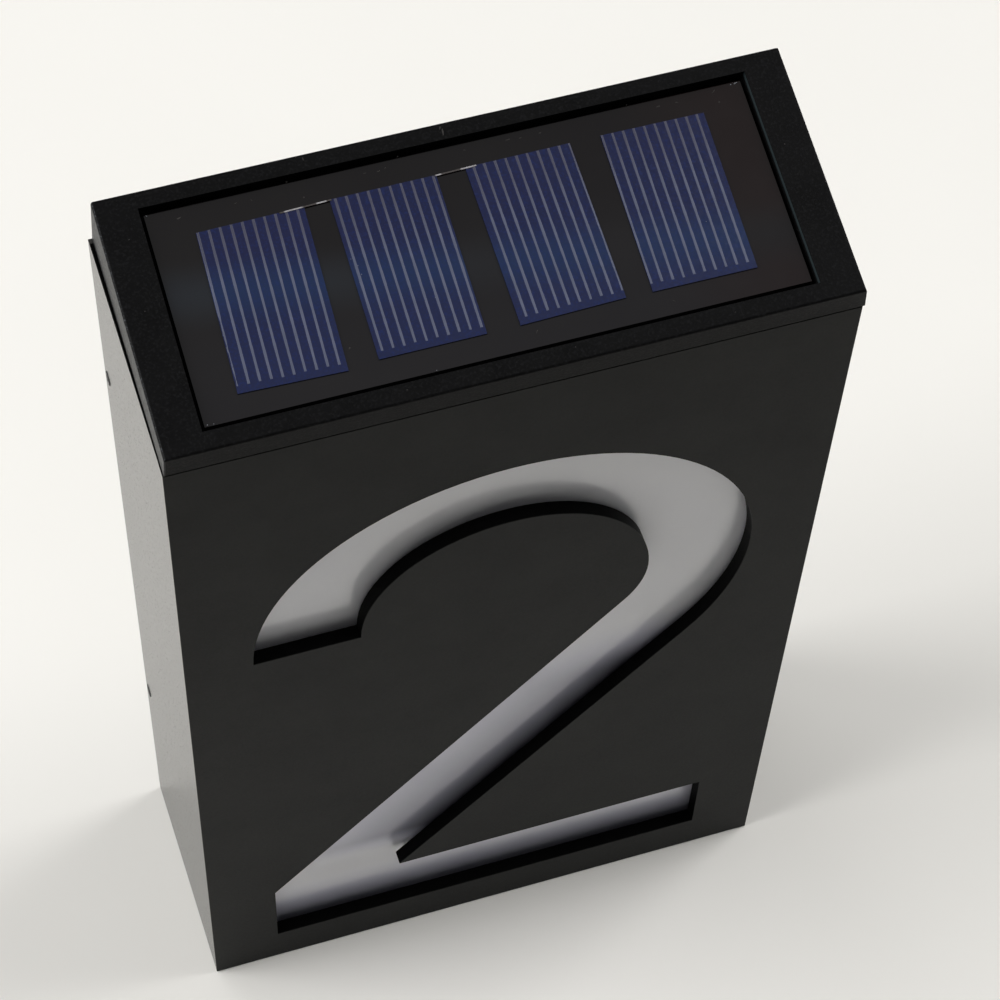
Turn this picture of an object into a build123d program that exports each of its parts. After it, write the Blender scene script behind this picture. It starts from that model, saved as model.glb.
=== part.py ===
from build123d import *
import os
from math import atan2, cos, degrees, radians, sin, tan

# House number sign, millimetres. X is to the viewer's right, Y points into the wall, +Z is up.
# The origin is the centre of the housing's base.

# ---- driving dimensions: housing ----
WIDTH = 127.0                # across the front
DEPTH = 49.3                 # front face to back edge
FRONT_HEIGHT = 198.0         # housing rim at the front
RIM_RISE = 5.0               # how much higher the rim is at the back
BACK_FLARE = 0.5             # each side leans out by this much at the back edge
FRONT_THICK = 3.0
SIDE_THICK = 1.8
FLOOR_THICK = 2.5
EDGE_ROUND = 0.15            # outer edges of the front plate

# ---- driving dimensions: numeral cut through the front plate ----
NUMERAL_SIDE_MARGIN = 13.3   # widest point of the bowl to the housing's side
NUMERAL_TOP_MARGIN = 23.5    # top of the bowl to the rim
BOWL_OUTER_RISE = 45.2       # of the bowl's upper half
BOWL_SIDE_STROKE = 21.2
BOWL_TOP_STROKE = 17.8
OUTER_TURN_RADIUS = 45.5     # from the bowl into the diagonal
INNER_TURN_RADIUS = 17.5
DIAGONAL_ANGLE = 49.6        # of the diagonal, from the horizontal
BAR_BOTTOM = 10.65
BAR_HEIGHT = 18.55
BAR_LEFT_INSET = 1.25        # the bar's ends inside the bowl's widest points
BAR_RIGHT_INSET = 0.85

# ---- driving dimensions: light chamber ----
TAPE_THICK = 0.8             # foam tape between front plate and diffuser
TAPE_BREADTH = 4.0
DIFFUSER_THICK = 2.0
DIFFUSER_SIDE_GAP = 3.5      # diffuser edge to the housing's side
DIFFUSER_FLOOR_GAP = 1.0
DIFFUSER_OVER_NUMERAL = 8.5  # diffuser above the top of the numeral
REFLECTOR_THICK = 1.2
REFLECTOR_DROP = 7.0         # reflector's top edge below the diffuser's
PAD_DIAMETER = 14.0
PAD_INSET = 18.0             # pad centres from the reflector's edges

# ---- driving dimensions: back plate and its screws ----
PLATE_THICK = 1.2
PLATE_CLEARANCE = 0.3
FLANGE_DEPTH = 9.0
FLANGE_END_GAP = 16.0        # flanges stop short of the plate's ends
WALL_HOLE_DIAMETER = 4.8
WALL_HOLE_SPACING = 130.0
WALL_HOLE_LOW = 35.0         # lower hole above the base
WALL_SCREW_ROOM = 5.0        # reflector to back plate, room for a screw's head
SIDE_SCREW_LOW = 49.0        # lower screws above the base
SIDE_SCREW_DROP = 33.0       # upper screws below the rim at the front
SIDE_SCREW_INSET = 2.5       # from the back edge
SIDE_SCREW_DIAMETER = 1.8
SIDE_SCREW_LENGTH = 5.0
SIDE_HEAD_DIAMETER = 2.8
SIDE_HEAD_HEIGHT = 0.9
SIDE_HEAD_PROUD = 0.15

# ---- driving dimensions: lid ----
LID_STEP = 1.1               # the lid is this much narrower than the housing
LID_SHIFT = -0.35            # and sits a little to the left on it
LID_SLOPE = 14.3             # of its top, down to the front
LID_FRONT_FACE = 7.1         # height of the front face, square to the top
LID_WALL = 2.0
LID_ROUND = 0.5
LID_FLARE = 1.25             # its right side spreads this much, down to the seam
SEAM_GAP = 0.3               # lid to rim, filled by the seal
SEAL_FRONT_INSET = 0.5       # seal behind the front face
SEAL_SIDE_INSET = 0.1        # seal inside the housing's sides
SEAL_BREADTH = 1.2
LIP_DEPTH = 5.0              # lip below the rim at the front
LIP_THICK = 1.5
LIP_CLEARANCE = 0.3

# ---- driving dimensions: solar panel, measured along the slope ----
BEZEL_SIDE = 7.55            # lid beside the recess
BEZEL_FRONT = 3.5
BEZEL_BACK = 3.26
PANEL_GAP = 0.8              # beside the panel in its recess
PANEL_FRONT_GAP = 1.3
PANEL_BACK_GAP = 0.7
PANEL_DEPTH = 1.5            # cells below the lid's top
PANEL_LEDGE = 3.0
BOARD_THICK = 1.6
ADHESIVE_THICK = 0.3
LEDGE_THICK = 1.4
CELL_THICK = 0.25
CELL_GAP = 5.35              # between cells
CELL_END_MARGIN = 7.95       # outer cells to the board's ends
CELL_SIDE_MARGIN = 4.69      # cells to the board's front and back
CELL_SHIFT = -0.7            # the row of cells sits a little to the left on the board
CELL_TILTS = (-1.7, 0.0, 1.3, -0.3)
CELL_SLANTS = (2.5, 0.2, -1.0, 0.0)  # of each cell's back edge, as it was cut
CELL_NUDGES = ((-0.25, -0.6), (-0.5, -0.2), (-0.15, 0.05), (-0.2, 0.12))  # across and up, off its place
RIBBON_WIDTH = 0.25
RIBBON_THICK = 0.1
RIBBON_OVERLAPS = ((4.4, 0.3), (0.3, 2.0))  # each ribbon on the cell to its left and to its right

# ---- driving dimensions: what hangs in the lid ----
CARRIER_THICK = 2.0
CARRIER_CLEARANCE = 0.3
CARRIER_ABOVE_LIP = 2.0      # carrier's underside above the lip's lower edge
BOSS_DIAMETER = 5.6
BOSS_INSET_X = 4.1           # boss centres from the lip's inner faces
BOSS_INSET_Y = 7.0
CARRIER_SCREW_DIAMETER = 2.5
CARRIER_SCREW_LENGTH = 6.5
SCREW_HEAD_DIAMETER = 4.5
SCREW_HEAD_HEIGHT = 1.6
THREAD_CLEARANCE = 0.05      # screw in the hole that it cuts
PASSAGE_CLEARANCE = 0.1      # screw in a hole that it passes
LED_BOARD_BREADTH = 10.0
LED_BOARD_END_GAP = 3.5      # to the heads of the carrier's screws
LED_BOARD_FRONT_GAP = 3.5    # to the carrier's front edge
LED_COUNT = 4
LED_END_MARGIN = 14.0        # outer LEDs to the board's ends
LED_DIAMETER = 5.0
LED_HEIGHT = 8.6
LED_RIM = 0.4                # how far the LED's foot stands out, and how high it is
LED_RIM_HEIGHT = 1.0
BATTERY_DIAMETER = 14.2
BATTERY_LENGTH = 49.5
BATTERY_NUB = 1.0
BATTERY_NUB_DIAMETER = 5.4
BATTERY_ROUND = 0.4
BATTERY_CLEARANCE = 0.3
HOLDER_END_GAP = 4.5         # holder to the heads of the carrier's screws
HOLDER_FRONT_GAP = 2.4       # holder to the LED board
HOLDER_WALL = 1.2
HOLDER_BASE = 1.5
HOLDER_HUG = 4.0             # holder walls below the cell's axis
CONTACT_THICK = 0.4
CONTACT_CLEARANCE = 0.05     # from each contact to the cell
SPRING_GAP = 4.6             # squeezed spring contact between the holder and the cell
LEAF_RISE = 5.0              # half the height of the spring's leaf
LEAF_BREADTH = 6.0
CONTROL_BOARD_BREADTH = 18.0
CONTROL_BOARD_END_GAP = 1.5  # to the heads of the carrier's screws
CONTROL_BOARD_SIDE_GAP = 5.0 # to the battery holder
CONTROL_BOARD_FRONT_GAP = 3.0
SPACER_HEIGHT = 3.0
SPACER_DIAMETER = 4.6
BOARD_SCREW_DIAMETER = 2.0
BOARD_SCREW_LENGTH = 5.5
BOARD_SCREW_INSET = 3.0
CHIP_AT = (-4.0, 4.0)        # pieces on the control board, from its middle
CHIP_SIZE = (4.2, 3.2, 1.8)
INDUCTOR_AT = (5.0, 3.0)
INDUCTOR_DIAMETER = 6.0
INDUCTOR_WAIST = 5.0
INDUCTOR_HEIGHT = 5.5
INDUCTOR_FLANGE = 0.9
CAPACITOR_AT = (-9.5, 4.0)
CAPACITOR_DIAMETER = 4.0
CAPACITOR_HEIGHT = 5.4
CAPACITOR_ROUND = 0.3
SWITCH_SHIFT = 3.0           # switch to the right of the board's middle
SWITCH_LENGTH = 8.6
SWITCH_BREADTH = 4.4
SWITCH_HEIGHT = 3.7
SWITCH_WALL = 0.5
SWITCH_TRAVEL = 2.0
SWITCH_FRONT_GAP = 0.6       # switch to the board's front edge
SLIDER_CLEARANCE = 0.15
KNOB_LENGTH = 1.9
KNOB_BREADTH = 1.6
KNOB_HEIGHT = 3.0
WIRE_DIAMETER = 1.2
WIRE_BEND = 2.0
WIRE_CLEARANCE = 1.0         # leads to what they pass
LEAD_SPACING = 3.0           # between the leads of a pair
LEAD_DROP = 5.0              # straight down from the panel
LEAD_OFFSET = 3.0            # panel's leads start this far behind their hole
LEAD_RISE = 2.5              # from the carrier's top to the leads' second bend
LED_LEAD_INSET = 5.0         # outer LED lead to the LED board's end
BATTERY_LEAD_SHIFT = -6.0    # long battery lead's end, from the control board's middle

# ---- places worked out from the driving dimensions ----
HALF_WIDTH = WIDTH / 2
FRONT_Y = -DEPTH / 2
BACK_Y = DEPTH / 2
SHELL_Y = FRONT_Y + FRONT_THICK
INNER_HALF_WIDTH = HALF_WIDTH - SIDE_THICK
RIM_ANGLE = degrees(atan2(RIM_RISE, DEPTH))
BIG = 2 * (WIDTH + FRONT_HEIGHT)

NUMERAL_TOP = FRONT_HEIGHT - NUMERAL_TOP_MARGIN
BOWL_Z = NUMERAL_TOP - BOWL_OUTER_RISE
BOWL_OUTER_HALF_WIDTH = HALF_WIDTH - NUMERAL_SIDE_MARGIN
BOWL_INNER_HALF_WIDTH = BOWL_OUTER_HALF_WIDTH - BOWL_SIDE_STROKE
BOWL_INNER_RISE = BOWL_OUTER_RISE - BOWL_TOP_STROKE
BAR_LEFT = BAR_LEFT_INSET - BOWL_OUTER_HALF_WIDTH
BAR_RIGHT = BOWL_OUTER_HALF_WIDTH - BAR_RIGHT_INSET
BAR_TOP = BAR_BOTTOM + BAR_HEIGHT

DIFFUSER_HALF_WIDTH = INNER_HALF_WIDTH - DIFFUSER_SIDE_GAP
DIFFUSER_BOTTOM = FLOOR_THICK + DIFFUSER_FLOOR_GAP
DIFFUSER_TOP = NUMERAL_TOP + DIFFUSER_OVER_NUMERAL
DIFFUSER_Y = SHELL_Y + TAPE_THICK
REFLECTOR_Y = DIFFUSER_Y + DIFFUSER_THICK
REFLECTOR_TOP = DIFFUSER_TOP - REFLECTOR_DROP
PLATE_Y = BACK_Y - PLATE_THICK
REFLECTOR_BACK_Y = PLATE_Y - WALL_SCREW_ROOM
PLATE_HALF_WIDTH = INNER_HALF_WIDTH - PLATE_CLEARANCE
PLATE_BOTTOM = FLOOR_THICK + PLATE_CLEARANCE
SIDE_SCREW_Y = BACK_Y - SIDE_SCREW_INSET
SIDE_SCREW_Z = (SIDE_SCREW_LOW, FRONT_HEIGHT - SIDE_SCREW_DROP)
WALL_HOLE_Z = (WALL_HOLE_LOW, WALL_HOLE_LOW + WALL_HOLE_SPACING)

LID_SIN = sin(radians(LID_SLOPE))
LID_COS = cos(radians(LID_SLOPE))
LID_WIDTH = WIDTH - LID_STEP
LID_SEAT_Z = FRONT_HEIGHT + SEAM_GAP
LID_LEFT = LID_SHIFT - LID_WIDTH / 2
LID_RIGHT = LID_SHIFT + LID_WIDTH / 2
LID_TOP_Y = FRONT_Y - LID_FRONT_FACE * LID_SIN
LID_TOP_Z = LID_SEAT_Z + LID_FRONT_FACE * LID_COS
LID_BACK_Z = LID_SEAT_Z + RIM_RISE
LID_RUN = (BACK_Y - LID_TOP_Y) * LID_COS + (LID_BACK_Z - LID_TOP_Z) * LID_SIN
LID_BACK_FACE = (LID_RUN * LID_SIN + LID_TOP_Z - LID_BACK_Z) / LID_COS
TOP_PLANE = Plane(origin=(0, LID_TOP_Y, LID_TOP_Z), x_dir=(1, 0, 0), z_dir=(0, -LID_SIN, LID_COS))

RECESS_LENGTH = LID_WIDTH - 2 * BEZEL_SIDE
RECESS_BREADTH = LID_RUN - BEZEL_FRONT - BEZEL_BACK
RECESS_S = BEZEL_FRONT + RECESS_BREADTH / 2
PANEL_LENGTH = RECESS_LENGTH - 2 * PANEL_GAP
PANEL_BREADTH = RECESS_BREADTH - PANEL_FRONT_GAP - PANEL_BACK_GAP
PANEL_S = BEZEL_FRONT + PANEL_FRONT_GAP + PANEL_BREADTH / 2
CELL_COUNT = len(CELL_TILTS)
CELL_PITCH = (PANEL_LENGTH - 2 * CELL_END_MARGIN + CELL_GAP) / CELL_COUNT
CELL_WIDTH = CELL_PITCH - CELL_GAP
CELL_LENGTH = PANEL_BREADTH - 2 * CELL_SIDE_MARGIN
BOARD_DEPTH = PANEL_DEPTH + CELL_THICK
LEDGE_DEPTH = BOARD_DEPTH + BOARD_THICK + ADHESIVE_THICK
TOP_THICK = LEDGE_DEPTH + LEDGE_THICK
WINDOW_LENGTH = PANEL_LENGTH - 2 * PANEL_LEDGE
WINDOW_BREADTH = PANEL_BREADTH - 2 * PANEL_LEDGE

LIP_BOTTOM = FRONT_HEIGHT - LIP_DEPTH
LIP_HALF_WIDTH = INNER_HALF_WIDTH - LIP_CLEARANCE
LIP_FRONT_Y = SHELL_Y + LIP_CLEARANCE
LIP_BACK_Y = PLATE_Y - LIP_CLEARANCE
CARRIER_BOTTOM = LIP_BOTTOM + CARRIER_ABOVE_LIP
CARRIER_TOP = CARRIER_BOTTOM + CARRIER_THICK
CARRIER_HALF_WIDTH = LIP_HALF_WIDTH - LIP_THICK - CARRIER_CLEARANCE
CARRIER_FRONT_Y = LIP_FRONT_Y + LIP_THICK + CARRIER_CLEARANCE
CARRIER_BACK_Y = LIP_BACK_Y - LIP_THICK - CARRIER_CLEARANCE
BOSS_X = LIP_HALF_WIDTH - LIP_THICK - BOSS_INSET_X
BOSS_Y = (LIP_FRONT_Y + LIP_THICK + BOSS_INSET_Y, LIP_BACK_Y - LIP_THICK - BOSS_INSET_Y)
CLEAR_HALF_WIDTH = BOSS_X - SCREW_HEAD_DIAMETER / 2

LED_BOARD_LENGTH = 2 * (CLEAR_HALF_WIDTH - LED_BOARD_END_GAP)
LED_BOARD_Y = CARRIER_FRONT_Y + LED_BOARD_FRONT_GAP + LED_BOARD_BREADTH / 2
LED_BOARD_BACK_Y = LED_BOARD_Y + LED_BOARD_BREADTH / 2
LED_BOARD_BOTTOM = CARRIER_BOTTOM - BOARD_THICK
LED_PITCH = (LED_BOARD_LENGTH - 2 * LED_END_MARGIN) / (LED_COUNT - 1)

CELL_ROOM = SPRING_GAP + BATTERY_LENGTH + BATTERY_NUB + CONTACT_CLEARANCE + CONTACT_THICK
HOLDER_LENGTH = CELL_ROOM + 2 * HOLDER_WALL
HOLDER_BREADTH = BATTERY_DIAMETER + 2 * BATTERY_CLEARANCE + 2 * HOLDER_WALL
HOLDER_LEFT = HOLDER_END_GAP - CLEAR_HALF_WIDTH
HOLDER_RIGHT = HOLDER_LEFT + HOLDER_LENGTH
BATTERY_LEFT = HOLDER_LEFT + HOLDER_WALL + SPRING_GAP
BATTERY_Y = LED_BOARD_BACK_Y + HOLDER_FRONT_GAP + HOLDER_BREADTH / 2
BATTERY_Z = CARRIER_BOTTOM - HOLDER_BASE - BATTERY_CLEARANCE - BATTERY_DIAMETER / 2
HOLDER_BOTTOM = BATTERY_Z - HOLDER_HUG

BOARD_TOP = CARRIER_BOTTOM - SPACER_HEIGHT
BOARD_BOTTOM = BOARD_TOP - BOARD_THICK
BOARD_LEFT = HOLDER_RIGHT + CONTROL_BOARD_SIDE_GAP
BOARD_RIGHT = CLEAR_HALF_WIDTH - CONTROL_BOARD_END_GAP
BOARD_X = (BOARD_LEFT + BOARD_RIGHT) / 2
BOARD_FRONT_Y = LED_BOARD_BACK_Y + CONTROL_BOARD_FRONT_GAP
BOARD_BACK_Y = BOARD_FRONT_Y + CONTROL_BOARD_BREADTH
BOARD_Y = (BOARD_FRONT_Y + BOARD_BACK_Y) / 2


def block(x0, x1, y0, y1, z0, z1):
    """Box between two corners."""
    middle = Pos((x0 + x1) / 2, (y0 + y1) / 2, (z0 + z1) / 2)
    return middle * Box(x1 - x0, y1 - y0, z1 - z0)


def side_prism(points, x0, x1):
    """Outline of (y, z) points drawn out along X."""
    outline = make_face(Polyline([(0, y, z) for y, z in points], close=True))
    return Pos(x0, 0, 0) * extrude(outline, amount=x1 - x0, dir=(1, 0, 0))


def rod(x, y, z0, z1, diameter):
    """Upright cylinder between two heights."""
    return Pos(x, y, (z0 + z1) / 2) * Cylinder(diameter / 2, z1 - z0)


def rim_z(y, lift=0.0):
    """Height of the housing's rim at depth y."""
    return FRONT_HEIGHT + lift + RIM_RISE * (y - FRONT_Y) / DEPTH


def above_rim(lift=0.0):
    """Everything above the rim, or above a line that far over it."""
    low, high = -BIG, BIG
    points = [(low, rim_z(low, lift)), (high, rim_z(high, lift)), (high, BIG), (low, BIG)]
    return side_prism(points, -BIG, BIG)


def half_width_at(y):
    """Outer half width of the flared sides at depth y."""
    return HALF_WIDTH + BACK_FLARE * (y - SHELL_Y) / (BACK_Y - SHELL_Y)


def wire(points):
    """Round lead along a line with rounded corners."""
    path = FilletPolyline(*points, radius=WIRE_BEND)
    start = Plane(origin=path @ 0, z_dir=path % 0)
    return sweep(start * Circle(WIRE_DIAMETER / 2), path=path)


def screw(diameter, length, head_diameter, head_height):
    """Pan head screw: head below the XY plane, shank up +Z, a cross cut in the head."""
    head = Pos(0, 0, -head_height / 2) * Cylinder(head_diameter / 2, head_height)
    shank = Pos(0, 0, length / 2) * Cylinder(diameter / 2, length)
    slot_length, slot_width, slot_depth = 0.62 * head_diameter, 0.16 * head_diameter, 0.6 * head_height
    slot = Pos(0, 0, -head_height + slot_depth / 2) * Box(slot_length, slot_width, slot_depth)
    return head + shank - slot - Rot(0, 0, 90) * slot


# ---- housing ----
def numeral_face():
    """The figure 2 in the X, Z plane: bowl, diagonal and bar."""
    lean = radians(90 - DIAGONAL_ANGLE)
    run = tan(lean)
    outer_x = BOWL_OUTER_HALF_WIDTH - OUTER_TURN_RADIUS * (1 - cos(lean))
    outer_z = BOWL_Z - OUTER_TURN_RADIUS * sin(lean)
    inner_x = BOWL_INNER_HALF_WIDTH - INNER_TURN_RADIUS * (1 - cos(lean))
    inner_z = BOWL_Z - INNER_TURN_RADIUS * sin(lean)
    crotch_x = outer_x - run * (outer_z - BAR_TOP)
    heel_z = inner_z - (inner_x - BAR_LEFT) / run
    sweep_angle = 90 - DIAGONAL_ANGLE
    outer_middle = (BOWL_OUTER_HALF_WIDTH - OUTER_TURN_RADIUS, BOWL_Z)
    inner_middle = (BOWL_INNER_HALF_WIDTH - INNER_TURN_RADIUS, BOWL_Z)
    edges = [
        EllipticalCenterArc((0, BOWL_Z), BOWL_OUTER_HALF_WIDTH, BOWL_OUTER_RISE, 0, arc_size=180),
        Line((-BOWL_OUTER_HALF_WIDTH, BOWL_Z), (-BOWL_INNER_HALF_WIDTH, BOWL_Z)),
        EllipticalCenterArc((0, BOWL_Z), BOWL_INNER_HALF_WIDTH, BOWL_INNER_RISE, 0, arc_size=180),
        CenterArc(inner_middle, INNER_TURN_RADIUS, 0, -sweep_angle),
        Line((inner_x, inner_z), (BAR_LEFT, heel_z)),
        Line((BAR_LEFT, heel_z), (BAR_LEFT, BAR_BOTTOM)),
        Line((BAR_LEFT, BAR_BOTTOM), (BAR_RIGHT, BAR_BOTTOM)),
        Line((BAR_RIGHT, BAR_BOTTOM), (BAR_RIGHT, BAR_TOP)),
        Line((BAR_RIGHT, BAR_TOP), (crotch_x, BAR_TOP)),
        Line((crotch_x, BAR_TOP), (outer_x, outer_z)),
        CenterArc(outer_middle, OUTER_TURN_RADIUS, 0, -sweep_angle),
    ]
    return Plane.XZ * make_face(edges)


def front_plate():
    """Front of the box, with the numeral cut through."""
    plate = block(-HALF_WIDTH, HALF_WIDTH, FRONT_Y, SHELL_Y, 0, FRONT_HEIGHT + RIM_RISE) - above_rim()
    front_edges = plate.faces().sort_by(Axis.Y)[0].edges()
    plate = fillet(front_edges.sort_by(Axis.Z)[:-1], EDGE_ROUND)
    cut = extrude(Pos(0, FRONT_Y - FRONT_THICK, 0) * numeral_face(), amount=3 * FRONT_THICK, dir=(0, 1, 0))
    return plate - cut


def housing_shell():
    """Two flared sides and a floor behind the front plate."""
    back_half = HALF_WIDTH + BACK_FLARE
    outer = Polyline([(-HALF_WIDTH, SHELL_Y), (HALF_WIDTH, SHELL_Y), (back_half, BACK_Y), (-back_half, BACK_Y)],
                     close=True)
    inner_half = back_half - SIDE_THICK
    hollow = Polyline([(-INNER_HALF_WIDTH, SHELL_Y), (INNER_HALF_WIDTH, SHELL_Y), (inner_half, BACK_Y),
                       (-inner_half, BACK_Y)], close=True)
    shell = extrude(make_face(outer), amount=BIG, dir=(0, 0, 1))
    shell -= Pos(0, 0, FLOOR_THICK) * extrude(make_face(hollow), amount=BIG, dir=(0, 0, 1))
    shell -= above_rim()
    for z in SIDE_SCREW_Z:
        passage = Cylinder(SIDE_SCREW_DIAMETER / 2 + PASSAGE_CLEARANCE, BIG)
        shell -= Pos(0, SIDE_SCREW_Y, z) * Rot(0, 90, 0) * passage
        for side in (-1, 1):
            seat = side * (half_width_at(SIDE_SCREW_Y) - SIDE_HEAD_HEIGHT + SIDE_HEAD_PROUD + BIG / 2)
            sink = Cylinder(SIDE_HEAD_DIAMETER / 2 + PASSAGE_CLEARANCE, BIG)
            shell -= Pos(seat, SIDE_SCREW_Y, z) * Rot(0, 90, 0) * sink
    return shell


def side_screws():
    """Two screws on each side, sunk in the shell and run into the back plate's flanges."""
    one = screw(SIDE_SCREW_DIAMETER, SIDE_SCREW_LENGTH, SIDE_HEAD_DIAMETER, SIDE_HEAD_HEIGHT)
    seat = half_width_at(SIDE_SCREW_Y) + SIDE_HEAD_PROUD - SIDE_HEAD_HEIGHT
    screws = []
    for z in SIDE_SCREW_Z:
        for side in (-1, 1):
            screws.append(Pos(side * seat, SIDE_SCREW_Y, z) * Rot(0, -90 * side, 0) * one)
    return Compound(children=screws)


def diffuser_tape():
    """Foam tape round the numeral, behind the front plate."""
    outer = block(-DIFFUSER_HALF_WIDTH, DIFFUSER_HALF_WIDTH, SHELL_Y, DIFFUSER_Y, DIFFUSER_BOTTOM, DIFFUSER_TOP)
    inner = block(-DIFFUSER_HALF_WIDTH + TAPE_BREADTH, DIFFUSER_HALF_WIDTH - TAPE_BREADTH, SHELL_Y, DIFFUSER_Y,
                  DIFFUSER_BOTTOM + TAPE_BREADTH, DIFFUSER_TOP - TAPE_BREADTH)
    return outer - inner


def diffuser():
    """Opal sheet behind the numeral."""
    return block(-DIFFUSER_HALF_WIDTH, DIFFUSER_HALF_WIDTH, DIFFUSER_Y, REFLECTOR_Y,
                 DIFFUSER_BOTTOM, DIFFUSER_TOP)


def reflector():
    """White tray, open to the diffuser and to the LEDs above."""
    wall = REFLECTOR_THICK
    outer = block(-DIFFUSER_HALF_WIDTH, DIFFUSER_HALF_WIDTH, REFLECTOR_Y, REFLECTOR_BACK_Y,
                  DIFFUSER_BOTTOM, REFLECTOR_TOP)
    inner = block(-DIFFUSER_HALF_WIDTH + wall, DIFFUSER_HALF_WIDTH - wall, REFLECTOR_Y, REFLECTOR_BACK_Y - wall,
                  DIFFUSER_BOTTOM + wall, REFLECTOR_TOP)
    return outer - inner


def reflector_pads():
    """Foam pads that hold the reflector and the diffuser forward."""
    pads = []
    for x in (-DIFFUSER_HALF_WIDTH + PAD_INSET, DIFFUSER_HALF_WIDTH - PAD_INSET):
        for z in (DIFFUSER_BOTTOM + PAD_INSET, REFLECTOR_TOP - PAD_INSET):
            pad = Cylinder(PAD_DIAMETER / 2, WALL_SCREW_ROOM)
            pads.append(Pos(x, (REFLECTOR_BACK_Y + PLATE_Y) / 2, z) * Rot(90, 0, 0) * pad)
    return Compound(children=pads)


def back_plate():
    """Sheet plate that closes the back, with side flanges and two wall screw holes."""
    plate = block(-PLATE_HALF_WIDTH, PLATE_HALF_WIDTH, PLATE_Y, BACK_Y, PLATE_BOTTOM,
                  rim_z(PLATE_Y) - PLATE_CLEARANCE)
    flange_low = PLATE_BOTTOM + FLANGE_END_GAP
    flange_high = LIP_BOTTOM - PLATE_CLEARANCE - FLANGE_END_GAP / 2
    for side in (-1, 1):
        edges = sorted((side * PLATE_HALF_WIDTH, side * (PLATE_HALF_WIDTH - PLATE_THICK)))
        plate += block(*edges, PLATE_Y - FLANGE_DEPTH, PLATE_Y, flange_low, flange_high)
    for z in SIDE_SCREW_Z:
        tapped = Cylinder(SIDE_SCREW_DIAMETER / 2 + THREAD_CLEARANCE, BIG)
        plate -= Pos(0, SIDE_SCREW_Y, z) * Rot(0, 90, 0) * tapped
    for z in WALL_HOLE_Z:
        hole = Cylinder(WALL_HOLE_DIAMETER / 2, 4 * PLATE_THICK)
        plate -= Pos(0, BACK_Y - PLATE_THICK / 2, z) * Rot(90, 0, 0) * hole
    return plate


# ---- lid ----
def lid_outline(inset=0.0, top_inset=0.0):
    """The wedge's (y, z) outline, or one set in by a wall."""
    s_low, s_high, depth = inset, LID_RUN - inset, top_inset
    top = [(LID_TOP_Y + s * LID_COS + depth * LID_SIN, LID_TOP_Z + s * LID_SIN - depth * LID_COS)
           for s in (s_low, s_high)]
    low_y = [top[0][0] + BIG * LID_SIN, top[1][0] + BIG * LID_SIN]
    low_z = [top[0][1] - BIG * LID_COS, top[1][1] - BIG * LID_COS]
    return [top[0], top[1], (low_y[1], low_z[1]), (low_y[0], low_z[0])]


def lip():
    """Upright lip that stands inside the housing and the back plate."""
    outer = block(-LIP_HALF_WIDTH, LIP_HALF_WIDTH, LIP_FRONT_Y, LIP_BACK_Y, LIP_BOTTOM, LID_TOP_Z + BIG)
    inner = block(-LIP_HALF_WIDTH + LIP_THICK, LIP_HALF_WIDTH - LIP_THICK, LIP_FRONT_Y + LIP_THICK,
                  LIP_BACK_Y - LIP_THICK, LIP_BOTTOM, LID_TOP_Z + BIG)
    return outer - inner


def flare_end(s, depth):
    """Section of the spreading right side at s up the slope, from the rounded edge down to the seam."""
    corners = [(LID_RIGHT - LID_ROUND, s, -LID_ROUND), (LID_RIGHT, s, -LID_ROUND),
               (LID_RIGHT + LID_FLARE, s, -depth), (LID_RIGHT - LID_ROUND, s, -depth)]
    return Face(Wire.make_polygon(corners, close=True))


def lid_flare():
    """What the right side of the lid spreads by."""
    return TOP_PLANE * loft([flare_end(0, LID_FRONT_FACE), flare_end(LID_RUN, LID_BACK_FACE)], ruled=True)


def lid():
    """Wedge with the panel's recess, a lip and four screw bosses."""
    wedge = side_prism(lid_outline(), LID_LEFT, LID_RIGHT)
    seated = wedge & above_rim(SEAM_GAP)
    corners = seated.edges().filter_by(lambda e: e.center().Z > LID_TOP_Z - LID_FRONT_FACE / 4)
    body = fillet(corners, LID_ROUND) + lid_flare()
    hollow = side_prism(lid_outline(LID_WALL, TOP_THICK), LID_LEFT + LID_WALL, LID_RIGHT - LID_WALL)
    body -= hollow
    below_top = side_prism(lid_outline(LID_WALL / 2, TOP_THICK / 2), LID_LEFT + LID_WALL / 2,
                           LID_RIGHT - LID_WALL / 2)
    body += lip() & below_top
    for x in (-BOSS_X, BOSS_X):
        for y in BOSS_Y:
            boss = rod(x, y, CARRIER_TOP, LID_TOP_Z + BIG, BOSS_DIAMETER)
            body += boss & below_top
            body -= rod(x, y, CARRIER_TOP, CARRIER_BOTTOM + CARRIER_SCREW_LENGTH,
                        CARRIER_SCREW_DIAMETER + 2 * THREAD_CLEARANCE)
    recess = Box(RECESS_LENGTH, RECESS_BREADTH, 2 * LEDGE_DEPTH)
    window = Box(WINDOW_LENGTH, WINDOW_BREADTH, 4 * TOP_THICK)
    body -= TOP_PLANE * Pos(LID_SHIFT, RECESS_S, 0) * recess
    return body - TOP_PLANE * Pos(LID_SHIFT, PANEL_S, 0) * window


def lid_seal():
    """Thin seal on the rim, under the lid."""
    front_half, back_half = HALF_WIDTH - SEAL_SIDE_INSET, half_width_at(PLATE_Y) - SEAL_SIDE_INSET
    front = FRONT_Y + SEAL_FRONT_INSET
    outline = Polyline([(-front_half, front), (front_half, front), (back_half, PLATE_Y), (-back_half, PLATE_Y)],
                       close=True)
    outer = extrude(make_face(outline), amount=BIG, dir=(0, 0, 1))
    inner = block(SEAL_BREADTH - front_half, front_half - SEAL_BREADTH, front + SEAL_BREADTH, BACK_Y, 0, BIG)
    return ((outer - inner) & above_rim()) - above_rim(SEAM_GAP)


def on_panel(x, s, depth):
    """Place on the slope: x across, s from the panel's middle up the slope, depth below the lid's top."""
    return TOP_PLANE * Pos(x, PANEL_S + s, -depth)


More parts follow.
